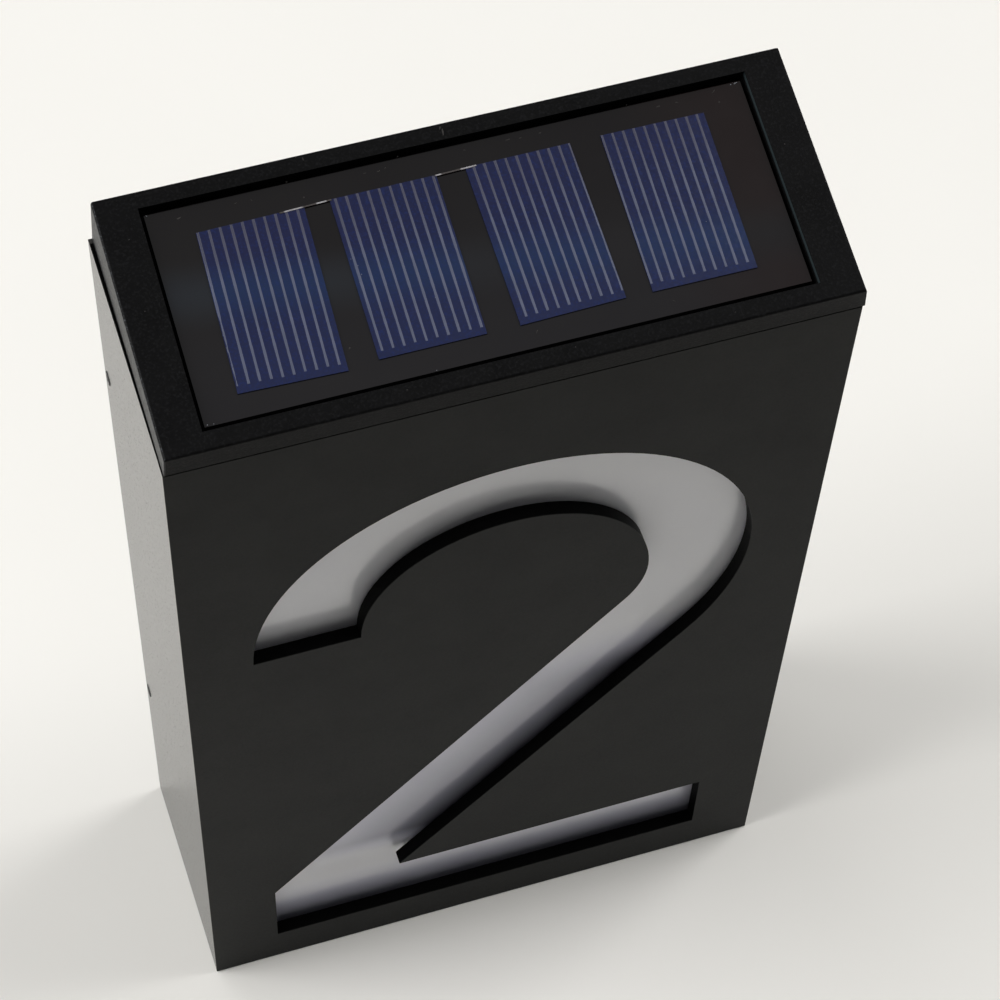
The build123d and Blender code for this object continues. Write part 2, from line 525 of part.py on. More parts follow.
def solar_panel():
    """Board that carries the cells."""
    board = Box(PANEL_LENGTH, PANEL_BREADTH, BOARD_THICK)
    return on_panel(LID_SHIFT, 0, BOARD_DEPTH + BOARD_THICK / 2) * board


def panel_adhesive():
    """Bead between the board and the recess's ledge."""
    ring = Box(PANEL_LENGTH, PANEL_BREADTH, ADHESIVE_THICK) - Box(WINDOW_LENGTH, WINDOW_BREADTH, ADHESIVE_THICK)
    return on_panel(LID_SHIFT, 0, LEDGE_DEPTH - ADHESIVE_THICK / 2) * ring


def cell_seat(index):
    """A cell's place and tilt on the panel."""
    across, up = CELL_NUDGES[index]
    x = CELL_SHIFT + (index - (CELL_COUNT - 1) / 2) * CELL_PITCH + across
    return Pos(x, up, 0) * Rot(0, 0, CELL_TILTS[index])


def back_edge(index, x):
    """Height of a cell's back edge over its middle, at x across the cell."""
    return CELL_LENGTH / 2 + x * tan(radians(CELL_SLANTS[index]))


def solar_cell(index):
    """One cell, a little off its place in the row and not quite square."""
    half = CELL_WIDTH / 2
    outline = Polyline([(-half, -CELL_LENGTH / 2), (half, -CELL_LENGTH / 2), (half, back_edge(index, half)),
                        (-half, back_edge(index, -half))], close=True)
    cell = extrude(make_face(outline), amount=CELL_THICK, dir=(0, 0, 1))
    return on_panel(0, 0, BOARD_DEPTH) * cell_seat(index) * cell


def back_edge_point(index, side, inset):
    """Where a ribbon ends at a cell's back edge, that far in from its left (-1) or right (1) side."""
    x = side * (CELL_WIDTH / 2 - inset)
    return (cell_seat(index) * Pos(x, back_edge(index, x) - RIBBON_WIDTH / 2, 0)).position


def cell_ribbons():
    """Ribbons along the cells' back edges, from each cell to the next."""
    ribbons = []
    for index, (left, right) in enumerate(RIBBON_OVERLAPS):
        start, end = back_edge_point(index, 1, left), back_edge_point(index + 1, -1, right)
        run, middle = end - start, (start + end) * 0.5
        strip = Rot(0, 0, degrees(atan2(run.Y, run.X))) * Box(run.length, RIBBON_WIDTH, RIBBON_THICK)
        seat = on_panel(middle.X, middle.Y, BOARD_DEPTH - CELL_THICK - RIBBON_THICK / 2)
        ribbons.append(seat * strip)
    return Compound(children=ribbons)


# ---- what hangs in the lid ----
def carrier_plate():
    """Plate that closes the lid from below, with spacers for the control board."""
    plate = block(-CARRIER_HALF_WIDTH, CARRIER_HALF_WIDTH, CARRIER_FRONT_Y, CARRIER_BACK_Y,
                  CARRIER_BOTTOM, CARRIER_TOP)
    for x, y in board_screw_places():
        plate += rod(x, y, BOARD_TOP, CARRIER_BOTTOM, SPACER_DIAMETER)
        plate -= rod(x, y, BOARD_TOP, CARRIER_TOP, BOARD_SCREW_DIAMETER + 2 * THREAD_CLEARANCE)
    for x in (-BOSS_X, BOSS_X):
        for y in BOSS_Y:
            plate -= rod(x, y, CARRIER_BOTTOM, CARRIER_TOP, CARRIER_SCREW_DIAMETER + 2 * PASSAGE_CLEARANCE)
    for x in panel_lead_places():
        plate -= rod(x, BOARD_Y, CARRIER_BOTTOM, CARRIER_TOP, 2 * WIRE_DIAMETER)
    return plate


def carrier_screws():
    """Four screws through the carrier into the lid's bosses."""
    one = screw(CARRIER_SCREW_DIAMETER, CARRIER_SCREW_LENGTH, SCREW_HEAD_DIAMETER, SCREW_HEAD_HEIGHT)
    return Compound(children=[Pos(x, y, CARRIER_BOTTOM) * one for x in (-BOSS_X, BOSS_X) for y in BOSS_Y])


def board_screw_places():
    """Centres of the control board's two screws, at opposite corners."""
    return [(BOARD_LEFT + BOARD_SCREW_INSET, BOARD_FRONT_Y + BOARD_SCREW_INSET),
            (BOARD_RIGHT - BOARD_SCREW_INSET, BOARD_BACK_Y - BOARD_SCREW_INSET)]


def board_screws():
    """Two screws that hold the control board to its spacers."""
    one = screw(BOARD_SCREW_DIAMETER, BOARD_SCREW_LENGTH, 1.8 * BOARD_SCREW_DIAMETER, 0.7 * BOARD_SCREW_DIAMETER)
    return Compound(children=[Pos(x, y, BOARD_BOTTOM) * one for x, y in board_screw_places()])


def control_board():
    """Board for the charger and LED driver."""
    board = block(BOARD_LEFT, BOARD_RIGHT, BOARD_FRONT_Y, BOARD_BACK_Y, BOARD_BOTTOM, BOARD_TOP)
    for x, y in board_screw_places():
        board -= rod(x, y, BOARD_BOTTOM, BOARD_TOP, BOARD_SCREW_DIAMETER + 2 * PASSAGE_CLEARANCE)
    return board


def driver_chip():
    """Driver chip, flat on the board."""
    seat = Pos(BOARD_X + CHIP_AT[0], BOARD_Y + CHIP_AT[1], BOARD_BOTTOM - CHIP_SIZE[2] / 2)
    return seat * Box(*CHIP_SIZE)


def inductor():
    """Drum core: two flanges and a waist."""
    x, y = BOARD_X + INDUCTOR_AT[0], BOARD_Y + INDUCTOR_AT[1]
    low = BOARD_BOTTOM - INDUCTOR_HEIGHT
    drum = rod(x, y, low, BOARD_BOTTOM, INDUCTOR_WAIST)
    drum += rod(x, y, BOARD_BOTTOM - INDUCTOR_FLANGE, BOARD_BOTTOM, INDUCTOR_DIAMETER)
    return drum + rod(x, y, low, low + INDUCTOR_FLANGE, INDUCTOR_DIAMETER)


def capacitor():
    """Small can standing on the board."""
    x, y = BOARD_X + CAPACITOR_AT[0], BOARD_Y + CAPACITOR_AT[1]
    can = rod(x, y, BOARD_BOTTOM - CAPACITOR_HEIGHT, BOARD_BOTTOM, CAPACITOR_DIAMETER)
    return fillet(can.faces().sort_by(Axis.Z)[0].edges(), CAPACITOR_ROUND)


def switch_place():
    """Middle of the switch on the control board's underside."""
    return BOARD_X + SWITCH_SHIFT, BOARD_FRONT_Y + SWITCH_BREADTH / 2 + SWITCH_FRONT_GAP


def switch_body():
    """Metal case of the slide switch, open below for the knob."""
    x, y = switch_place()
    case = block(x - SWITCH_LENGTH / 2, x + SWITCH_LENGTH / 2, y - SWITCH_BREADTH / 2, y + SWITCH_BREADTH / 2,
                 BOARD_BOTTOM - SWITCH_HEIGHT, BOARD_BOTTOM)
    room_x = SWITCH_LENGTH / 2 - SWITCH_WALL
    room_y = SWITCH_BREADTH / 2 - SWITCH_WALL
    case -= block(x - room_x, x + room_x, y - room_y, y + room_y, BOARD_BOTTOM - SWITCH_HEIGHT + SWITCH_WALL,
                  BOARD_BOTTOM - SWITCH_WALL)
    slot_x = (KNOB_LENGTH + SWITCH_TRAVEL) / 2 + SLIDER_CLEARANCE
    slot_y = KNOB_BREADTH / 2 + SLIDER_CLEARANCE
    return case - block(x - slot_x, x + slot_x, y - slot_y, y + slot_y, BOARD_BOTTOM - SWITCH_HEIGHT,
                        BOARD_BOTTOM - SWITCH_HEIGHT + SWITCH_WALL)


def switch_slider():
    """Slider at the left end of its travel: a foot in the case and a knob through the slot."""
    x, y = switch_place()
    x -= SWITCH_TRAVEL / 2
    foot_x = SWITCH_LENGTH / 2 - SWITCH_WALL - SWITCH_TRAVEL / 2 - SLIDER_CLEARANCE
    foot_y = SWITCH_BREADTH / 2 - SWITCH_WALL - SLIDER_CLEARANCE
    foot_low = BOARD_BOTTOM - SWITCH_HEIGHT + SWITCH_WALL + SLIDER_CLEARANCE
    foot_high = BOARD_BOTTOM - SWITCH_WALL - SLIDER_CLEARANCE
    foot = block(x - foot_x, x + foot_x, y - foot_y, y + foot_y, foot_low, foot_high)
    knob = block(x - KNOB_LENGTH / 2, x + KNOB_LENGTH / 2, y - KNOB_BREADTH / 2, y + KNOB_BREADTH / 2,
                 foot_low - SLIDER_CLEARANCE - SWITCH_WALL - KNOB_HEIGHT, foot_high)
    return foot + knob


def led_board():
    """Narrow board flat under the carrier, behind the front."""
    return block(-LED_BOARD_LENGTH / 2, LED_BOARD_LENGTH / 2, LED_BOARD_Y - LED_BOARD_BREADTH / 2,
                 LED_BOARD_Y + LED_BOARD_BREADTH / 2, LED_BOARD_BOTTOM, CARRIER_BOTTOM)


def leds():
    """Round LEDs that shine down into the light chamber."""
    lamps = []
    for index in range(LED_COUNT):
        x = (index - (LED_COUNT - 1) / 2) * LED_PITCH
        tip = LED_BOARD_BOTTOM - LED_HEIGHT + LED_DIAMETER / 2
        lamp = rod(x, LED_BOARD_Y, tip, LED_BOARD_BOTTOM, LED_DIAMETER)
        lamp += Pos(x, LED_BOARD_Y, tip) * Sphere(LED_DIAMETER / 2)
        foot_low = LED_BOARD_BOTTOM - LED_RIM_HEIGHT
        lamp += rod(x, LED_BOARD_Y, foot_low, LED_BOARD_BOTTOM, LED_DIAMETER + 2 * LED_RIM)
        lamps.append(lamp)
    return Compound(children=lamps)


def battery_holder():
    """Cradle under the carrier, open below."""
    low_y, high_y = BATTERY_Y - HOLDER_BREADTH / 2, BATTERY_Y + HOLDER_BREADTH / 2
    outer = block(HOLDER_LEFT, HOLDER_RIGHT, low_y, high_y, HOLDER_BOTTOM, CARRIER_BOTTOM)
    inner = block(HOLDER_LEFT + HOLDER_WALL, HOLDER_RIGHT - HOLDER_WALL, low_y + HOLDER_WALL,
                  high_y - HOLDER_WALL, HOLDER_BOTTOM, CARRIER_BOTTOM - HOLDER_BASE)
    return outer - inner


def battery():
    """AA cell, nub to the right."""
    axis_start = Pos(BATTERY_LEFT, BATTERY_Y, BATTERY_Z) * Rot(0, 90, 0)
    body = axis_start * Pos(0, 0, BATTERY_LENGTH / 2) * Cylinder(BATTERY_DIAMETER / 2, BATTERY_LENGTH)
    body = fillet(body.edges().filter_by(GeomType.CIRCLE), BATTERY_ROUND)
    nub = Cylinder(BATTERY_NUB_DIAMETER / 2, BATTERY_NUB)
    return body + axis_start * Pos(0, 0, BATTERY_LENGTH + BATTERY_NUB / 2) * nub


def contact_sheet(x0, x1):
    """Flat metal contact across the holder, clear of its walls."""
    half = BATTERY_DIAMETER / 2 - BATTERY_CLEARANCE
    return block(x0, x1, BATTERY_Y - half, BATTERY_Y + half, HOLDER_BOTTOM, BATTERY_Z + half)


def plate_contact():
    """Flat contact at the nub."""
    inner_face = HOLDER_RIGHT - HOLDER_WALL
    return contact_sheet(inner_face - CONTACT_THICK, inner_face)


def spring_contact():
    """Contact sheet with a leaf bowed out to the cell's flat end."""
    inner_face = HOLDER_LEFT + HOLDER_WALL
    sheet = contact_sheet(inner_face, inner_face + CONTACT_THICK)
    root_x, tip_x = inner_face + CONTACT_THICK / 2, BATTERY_LEFT - CONTACT_CLEARANCE
    outer = [(root_x, LEAF_RISE), (tip_x, 0), (root_x, -LEAF_RISE)]
    inner = [(root_x, LEAF_RISE - CONTACT_THICK), (tip_x - CONTACT_THICK, 0), (root_x, CONTACT_THICK - LEAF_RISE)]
    edges = [ThreePointArc(*outer), Line(outer[0], inner[0]), ThreePointArc(*inner), Line(inner[2], outer[2])]
    leaf = Plane.XZ * make_face(edges)
    low_y = BATTERY_Y - LEAF_BREADTH / 2
    return sheet + Pos(0, low_y, BATTERY_Z) * extrude(leaf, amount=LEAF_BREADTH, dir=(0, 1, 0))


# ---- leads ----
def panel_lead_places():
    """Two leads side by side above the control board."""
    return BOARD_X - LEAD_SPACING / 2, BOARD_X + LEAD_SPACING / 2


def panel_leads():
    """From the panel's underside down through the carrier to the control board."""
    leads = []
    s = (BOARD_Y + LEAD_OFFSET - LID_TOP_Y) / LID_COS - PANEL_S
    for x in panel_lead_places():
        start = on_panel(x, s, BOARD_DEPTH + BOARD_THICK).position
        bend = on_panel(x, s, BOARD_DEPTH + BOARD_THICK + LEAD_DROP).position
        turn = (x, BOARD_Y, CARRIER_TOP + LEAD_RISE)
        leads.append(wire([start, bend, turn, (x, BOARD_Y, BOARD_TOP)]))
    return Compound(children=leads)


def battery_leads():
    """Short lead from the nub's end, and a longer one from the spring's end round behind the holder."""
    z = (BOARD_BOTTOM + BOARD_TOP) / 2
    short = Pos((HOLDER_RIGHT + BOARD_LEFT) / 2, BATTERY_Y, z) * Rot(0, 90, 0)
    short *= Cylinder(WIRE_DIAMETER / 2, BOARD_LEFT - HOLDER_RIGHT)
    behind = max(BATTERY_Y + HOLDER_BREADTH / 2, BOARD_BACK_Y) + WIRE_BEND + WIRE_CLEARANCE / 2
    out_x = HOLDER_LEFT - WIRE_BEND - WIRE_CLEARANCE - WIRE_DIAMETER
    end_x = BOARD_X + BATTERY_LEAD_SHIFT
    long = wire([(HOLDER_LEFT, BATTERY_Y, z), (out_x, BATTERY_Y, z), (out_x, behind, z),
                 (end_x, behind, z), (end_x, BOARD_BACK_Y, z)])
    return Compound(children=[short, long])


def led_leads():
    """From the LED board's underside back to the control board's front edge."""
    z = (BOARD_BOTTOM + BOARD_TOP) / 2
    start_y = LED_BOARD_BACK_Y - WIRE_BEND - WIRE_CLEARANCE
    low_z = LED_BOARD_BOTTOM - WIRE_BEND - WIRE_CLEARANCE / 2
    outer_x = LED_BOARD_LENGTH / 2 - LED_LEAD_INSET
    leads = []
    for x in (outer_x - LEAD_SPACING, outer_x):
        leads.append(wire([(x, start_y, LED_BOARD_BOTTOM), (x, start_y, low_z), (x, LED_BOARD_BACK_Y, z),
                           (x, BOARD_FRONT_Y, z)]))
    return Compound(children=leads)


NODES = {
    "front_plate": front_plate,
    "housing_shell": housing_shell,
    "side_screws": side_screws,
    "diffuser_tape": diffuser_tape,
    "diffuser": diffuser,
    "reflector": reflector,
    "reflector_pads": reflector_pads,
    "back_plate": back_plate,
    "lid": lid,
    "lid_seal": lid_seal,
    "solar_panel": solar_panel,
    "panel_adhesive": panel_adhesive,
    "cell_ribbons": cell_ribbons,
    "carrier_plate": carrier_plate,
    "carrier_screws": carrier_screws,
    "control_board": control_board,
    "board_screws": board_screws,
    "driver_chip": driver_chip,
    "inductor": inductor,
    "capacitor": capacitor,
    "switch_body": switch_body,
    "switch_slider": switch_slider,
    "led_board": led_board,
    "leds": leds,
    "battery_holder": battery_holder,
    "battery": battery,
    "plate_contact": plate_contact,
    "spring_contact": spring_contact,
    "panel_leads": panel_leads,
    "battery_leads": battery_leads,
    "led_leads": led_leads,
}

os.makedirs("parts", exist_ok=True)
for node, make in NODES.items():
    export_step(make(), f"parts/{node}.step")
for number in range(CELL_COUNT):
    export_step(solar_cell(number), f"parts/solar_cell_{number + 1}.step")
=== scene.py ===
import math
import random

import bmesh
import bpy
from mathutils import Matrix, Vector


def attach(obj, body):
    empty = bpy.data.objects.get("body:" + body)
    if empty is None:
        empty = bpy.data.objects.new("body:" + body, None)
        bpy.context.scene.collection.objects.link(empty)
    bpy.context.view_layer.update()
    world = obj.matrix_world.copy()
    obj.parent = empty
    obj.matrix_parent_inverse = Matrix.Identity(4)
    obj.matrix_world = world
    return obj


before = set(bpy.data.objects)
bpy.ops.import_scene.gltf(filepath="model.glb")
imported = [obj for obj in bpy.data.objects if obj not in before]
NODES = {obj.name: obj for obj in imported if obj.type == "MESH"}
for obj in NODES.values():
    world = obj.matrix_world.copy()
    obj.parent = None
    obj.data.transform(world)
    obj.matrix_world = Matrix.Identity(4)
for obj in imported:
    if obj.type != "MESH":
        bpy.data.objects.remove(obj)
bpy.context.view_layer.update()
MM = 0.001
random.seed(7)

# Lengths below are in millimetres in the frame's axes, unless a comment says otherwise.

# ---- the camera, as fitted to the sign's corners; metres ----
CAMERA_AT = Vector((-0.108517, -0.301386, 0.608295))
CAMERA_RIGHT = Vector((0.953088, -0.30173, 0.02413))
CAMERA_DOWN = Vector((-0.241535, -0.806148, -0.540173))
CAMERA_FORWARD = Vector((0.182439, 0.509004, -0.841208))
CAMERA_LENS = 105.72
CAMERA_SENSOR = 36.0
CAMERA_SHIFT = (0.0374, 0.0511)
CAMERA_NEAREST = 0.01

# ---- light and floor; metres ----
LAMP_AIM = Vector((0, 0, 0.1))
LAMPS = (
    # name, place, breadth, height, power
    ("back_left", (-0.9, 1.6, 1.6), 1.4, 1.4, 10.5),
    ("left", (-1.4, 0.15, 1.3), 1.1, 1.6, 28.0),
    ("right", (1.4, 0.13, 1.3), 1.1, 1.6, 23.0),
)
WORLD_UP = 0.33
WORLD_LEVEL = 0.025
BACKDROP = (0.92, 0.905, 0.875)
FLOOR_HALF = 0.8
FLOOR_DROP = 0.0002
FLOOR_SQUARES = 8

# ---- the housing ----
HALF_WIDTH = 63.5
FRONT_Y = -24.65
SHELL_Y = -21.65
FRONT_HEIGHT = 198.0
RIM_SLOPE = 5.0 / 49.3
CUT_BEGINS = 0.2                # how far behind the face the dull cut edges begin
SKIN_INSET = 0.05
SKIN_RISE = 0.01
SKIN_MARGIN = 0.16
SKIN_DROP = 0.02

# ---- the milky sheet: how far light spreads in it, and where painted shade darkens it ----
OPAL_SPREAD = 7.0
BAR_FOOT = 10.65
FOOT_REACH = 14.0
FOOT_PAINTED_SHADE = 0.3
DIAGONAL_ANGLE = 49.6
DIAGONAL_CORNER = (-20.74, 29.2)
DIAGONAL_REACH = 25.0
DIAGONAL_PAINTED_SHADE = 0.16
DIAGONAL_FADE_IN = (31.0, 38.0)
DIAGONAL_FADE_OUT = (84.0, 104.0)

# ---- the lid's sloping top, and the solar panel in its recess ----
SLOPE = math.radians(14.3)
TOP_ORIGIN = Vector((0.0, -26.404 * MM, 205.180 * MM))      # metres
TOP_X = Vector((1, 0, 0))
TOP_Y = Vector((0, math.cos(SLOPE), math.sin(SLOPE)))
TOP_UP = Vector((0, -math.sin(SLOPE), math.cos(SLOPE)))
LID_LEFT = -63.1
RECESS_RIGHT = 55.05
RECESS_FRONT = 3.5
WALL_REACH = 0.3                # painted light on the recess's right wall: to each side, and down from the top
WALL_BLUR = 0.2
WALL_FADE_IN = (0.15, 0.3)
WALL_FADE_OUT = (1.0, 1.5)
PANEL_MIDDLE = 24.924
BOARD_DEPTH = 1.75
BAND_MIDDLE = 21.8              # the band of painted reflection across the panel
BAND_SLANT = 0.13
BAND_HALF = 7.5

# ---- the cells, their fingers and ribbons ----
CELL_DEPTH = 1.5
CELL_WIDTH = 19.3125
CELL_LENGTH = 30.868
CELL_PITCH = 24.6625
CELL_SHIFT = -0.7
CELL_TILTS = (-1.7, 0.0, 1.3, -0.3)
CELL_SLANTS = (2.5, 0.2, -1.0, 0.0)
CELL_NUDGES = ((-0.25, -0.6), (-0.5, -0.2), (-0.15, 0.05), (-0.2, 0.12))
CELL_MARGIN = 0.04
FINGER_COUNT = 10
FINGER_PITCH = 1.972
FINGER_FIRST = (0.31, 0.99, 1.46, 0.19)      # first finger to each cell's left edge
FINGER_WIDTH = 0.46
FINGER_HALF = (0.42, 0.55)                   # half its width, in parts of the width
FINGER_BEVEL = 0.22
FINGER_RISE = 0.03
FINGER_STEPS = 24
FINGER_END_GAP = 1.4
FINGER_END_PLAY = 0.12
WORN_FINGER = (0, 0)                         # cell, finger
WORN_BELOW = -1.5
WORN_LEFT = (0.25, 0.7)
RIBBON_BRIGHT = ((-31.6, -27.9), (-25.8, -23.6), (-4.2, -2.8), (0.4, 3.9))
RIBBON_BLUR = 0.4

# ---- dust, crumbs and scratches on the lid: across, up the slope, long, wide, turn in degrees ----
PANEL_FLECKS = (
    (-49.2, 43.1, 1.3, 0.35, 8), (-39.0, 43.5, 0.7, 0.2, 20), (-36.2, 43.4, 0.6, 0.2, -10),
    (-27.3, 41.7, 0.5, 0.4, 0), (-15.8, 43.6, 0.8, 0.2, 12), (-13.4, 43.4, 1.0, 0.25, 5),
    (-12.1, 43.7, 0.6, 0.2, 30), (2.4, 43.7, 0.8, 0.2, -8), (10.4, 43.8, 1.2, 0.3, 4),
    (12.6, 43.6, 0.7, 0.2, 15), (16.3, 43.7, 0.7, 0.25, 0), (38.4, 43.6, 1.1, 0.3, 6),
    (41.8, 43.6, 0.9, 0.25, -12), (49.0, 44.1, 1.3, 0.22, 42), (49.3, 41.8, 0.5, 0.35, 0),
    (-27.4, 12.6, 0.5, 0.35, 25), (4.6, 7.6, 0.8, 0.18, 60), (29.5, 7.2, 0.7, 0.15, -35),
)
PANEL_CRUMBS = (
    (-54.5, 44.8, 0.5, 0.3, 10), (53.3, 44.7, 1.3, 0.3, 12), (52.4, 44.6, 0.4, 0.25, -20),
    (-54.4, 5.1, 0.45, 0.3, 40), (-53.3, 5.0, 0.3, 0.2, 0), (-14.2, 5.0, 0.3, 0.15, 15),
)
CELL_CHIPS = (
    (-47.5, 20.6, 2.6, 0.2, 88), (-47.62, 17.3, 1.6, 0.18, 88), (-47.3, 30.4, 1.0, 0.12, 88),
    (-22.7, 28.4, 0.35, 0.22, 0), (-21.9, 26.9, 0.3, 0.2, 20), (-21.7, 25.2, 0.4, 0.22, 60),
    (-22.4, 23.8, 0.3, 0.2, 0), (-10.6, 17.9, 0.3, 0.2, 0), (39.6, 20.1, 0.3, 0.2, 40),
)
GAP_CRUMBS = ((-29.4, 45.35, 0.45, 0.35, 0), (-9.3, 45.4, 0.45, 0.35, 30), (33.0, 45.35, 0.3, 0.25, 0))
BEZEL_MARKS = (
    (-0.7, 47.2, 2.0, 0.4, 84), (-1.0, 48.0, 0.8, 0.22, 70), (-25.8, 48.0, 0.8, 0.22, 88),
    (-58.6, 40.5, 0.5, 0.16, 30), (-59.4, 27.0, 0.3, 0.2, 0), (57.5, 30.4, 0.3, 0.2, 20),
    (-20.4, 2.2, 0.35, 0.2, 0), (9.8, 2.6, 0.3, 0.2, 50), (38.7, 1.9, 0.3, 0.18, 10),
)
FLECK_SIDES = 7
FLECK_REACH = (0.6, 1.0)
FLECK_TOP = 0.7
FLECK_RISE = 0.03
CRUMB_RISE = 0.12
CHIP_RISE = 0.02
GAP_CRUMB_SINK = 0.3
GAP_CRUMB_RISE = 0.2
MARK_RISE = 0.006

# ---- small pieces that hang inside the lid ----
TURNED_SIDES = 28
BOARD_MIDDLE = Vector((32.975, 5.95, 190.4))      # middle of the control board's underside
LED_BOARD_UNDER = 193.4
LED_BOARD_Y = -11.05
LED_PLACES = (-36.05, -12.0, 12.0, 36.05)
LED_LEADS_X = (42.05, 45.05)
LED_LEADS_Y = -9.05
PANEL_LEADS_X = (31.475, 34.475)
BATTERY_LEADS_SPLIT = (7.0, 10.0)                 # the red one lies to the right of and before these
TRACK_PITCH = 3.6
COIL_AT = Vector((37.975, 8.95, 185.85))
COIL_TURNS = 9
COIL_PITCH = 0.4
COIL_RADII = (2.5, 2.84)
COIL_CROWN = (0.3, 0.7)                           # where each turn is widest, in parts of the pitch
CHIP_AT = (-4.0, 4.0)
CHIP_BREADTH = 3.2
CHIP_PINS = 4
CHIP_PIN_PITCH = 1.0
PIN_PARTS = (
    # beyond the chip's side, size, chamfer
    (0.45, (0.4, 0.9, 0.15), 0.04),
    (0.12, (0.4, 0.24, 0.9), 0.06),
)
RESISTOR_SIZE = (1.6, 0.8, 0.5)
RESISTOR_CAP = 0.32
RESISTOR_CHAMFER = 0.06
CAP_PROUD = (0.03, 0.06, 0.04)                    # at the end, both sides together, below
BOARD_RESISTORS = (                               # from the board's middle: across, back, turned or not
    (-8.0, -3.2, False), (-8.0, -1.4, False), (-4.6, -4.2, True), (10.8, -3.6, False),
    (10.8, -1.6, False), (11.4, 1.2, True), (0.6, 6.6, False), (-12.6, 1.2, True),
)
LED_RESISTOR_SHIFT = 6.0
SOLDER_PROFILE = ((0.95, 0.0), (0.85, -0.22), (0.6, -0.5), (0.28, -0.78), (0.1, -0.86))
LED_DOT_SHIFTS = (-4.2, 4.2)
LED_DOT_BACK = 3.0
LED_DOT_PROFILE = tuple((0.7 * radius, 0.5 * drop) for radius, drop in SOLDER_PROFILE)
BATTERY_END = Vector((6.25, 4.95, 186.1))
BATTERY_SLEEVE = (-42.4, 5.6)
BATTERY_BAND = -8.0                               # the pale band goes from here to the nub
WASHER_INNER = 2.8
WASHER_OUTER = 5.3
WASHER_PROFILE = (
    (WASHER_INNER, -0.02), (WASHER_OUTER, -0.02), (WASHER_OUTER, 0.12), (WASHER_OUTER - 0.1, 0.16),
    (WASHER_INNER, 0.16),
)
CAPACITOR_AT = Vector((23.475, 9.95, 185.0))
CAPACITOR_STRIPE = 1.2                            # the stripe goes from this far left of the middle
CAPACITOR_END = ((1.65, 0.0), (1.55, -0.05))
CAPACITOR_SCORES = ((2.6, 0.22, 0.05), (0.22, 2.6, 0.05))
SCORE_DROP = 0.04
SCORE_CHAMFER = 0.02

# ---- colours; where two stand together, the surface is mottled between them ----
FRONT_FACE = ((0.006, 0.0062, 0.0058), (0.011, 0.0115, 0.0105))
FRONT_CUT = (0.002, 0.002, 0.002)
SHELL = ((0.0095, 0.0092, 0.0085), (0.0145, 0.0141, 0.0132))
SHELL_SHINE = (1.0, 0.97, 0.92)
LID = ((0.0028, 0.0028, 0.003), (0.0046, 0.0046, 0.0048))
LID_PEBBLES = (0.0088, 0.0088, 0.0094)
LID_PAINTED_GLINTS = (0.07, 0.075, 0.085)
LID_WALL_PAINTED_LIGHT = (0.028, 0.038, 0.041)
OPAL_UNSHADED = ((0.80, 0.802, 0.95), (0.83, 0.832, 0.975))
# painted shade: the milky sheet's colour where the front plate's edges shade it
OPAL_PAINTED_SHADE = (0.0125, 0.0135, 0.0165)
BOARD_BACK = ((0.0038, 0.0028, 0.0034), (0.0056, 0.0046, 0.0048))
# painted reflections on the panel's board: lighter at the front, reddish at the right, bluish along the
# band
BOARD_FRONT_PAINTED_REFLECTION = ((0.0072, 0.0064, 0.0078), (0.0092, 0.0082, 0.0092))
BOARD_RIGHT_PAINTED_REFLECTION = (0.0105, 0.0046, 0.0042)
BOARD_BAND_LEFT_PAINTED_REFLECTION = (0.0115, 0.0135, 0.0175)
BOARD_BAND_RIGHT_PAINTED_REFLECTION = (0.0085, 0.0075, 0.0085)
CELL_BACK = ((0.0036, 0.0072, 0.040), (0.0056, 0.0078, 0.042))
CELL_FRONT_PAINTED_REFLECTION = ((0.0062, 0.0108, 0.047), (0.0076, 0.0118, 0.050))
CELL_BAND_PAINTED_REFLECTION = (0.0058, 0.0185, 0.064)
CELL_STREAKS = (0.009, 0.014, 0.058)
CELL_GRAINS = (0.006, 0.018, 0.1)
SILVER_BACK = ((0.030, 0.031, 0.060), (0.040, 0.041, 0.074))
SILVER_FRONT_PAINTED_REFLECTION = ((0.055, 0.065, 0.112), (0.075, 0.086, 0.145))
RIBBON_DULL = ((0.035, 0.028, 0.026), (0.06, 0.052, 0.05))
RIBBON_CLEAN = ((0.22, 0.21, 0.22), (0.38, 0.37, 0.38))
DUST = ((0.014, 0.0125, 0.0115), (0.032, 0.028, 0.026))
CHIP_SILVER = ((0.06, 0.07, 0.11), (0.13, 0.14, 0.18))
CRUMB = ((0.12, 0.13, 0.15), (0.3, 0.31, 0.33))
FLOOR_PALE = ((0.86, 0.843, 0.8), (0.89, 0.873, 0.83))
LACQUER = ((0.012, 0.1, 0.04), (0.018, 0.13, 0.05))
TRACKS = (0.035, 0.19, 0.07)
SLEEVE_GREEN = ((0.02, 0.17, 0.08), (0.03, 0.21, 0.1))
SLEEVE_PALE = ((0.5, 0.5, 0.46), (0.58, 0.58, 0.54))
BATTERY_STEEL = (0.5, 0.5, 0.49)
LEAD_RED = (0.45, 0.02, 0.015)
LEAD_BLACK = (0.02, 0.02, 0.02)
CAN_BARE = (0.6, 0.6, 0.6)
CAN_STRIPE = (0.015, 0.02, 0.05)

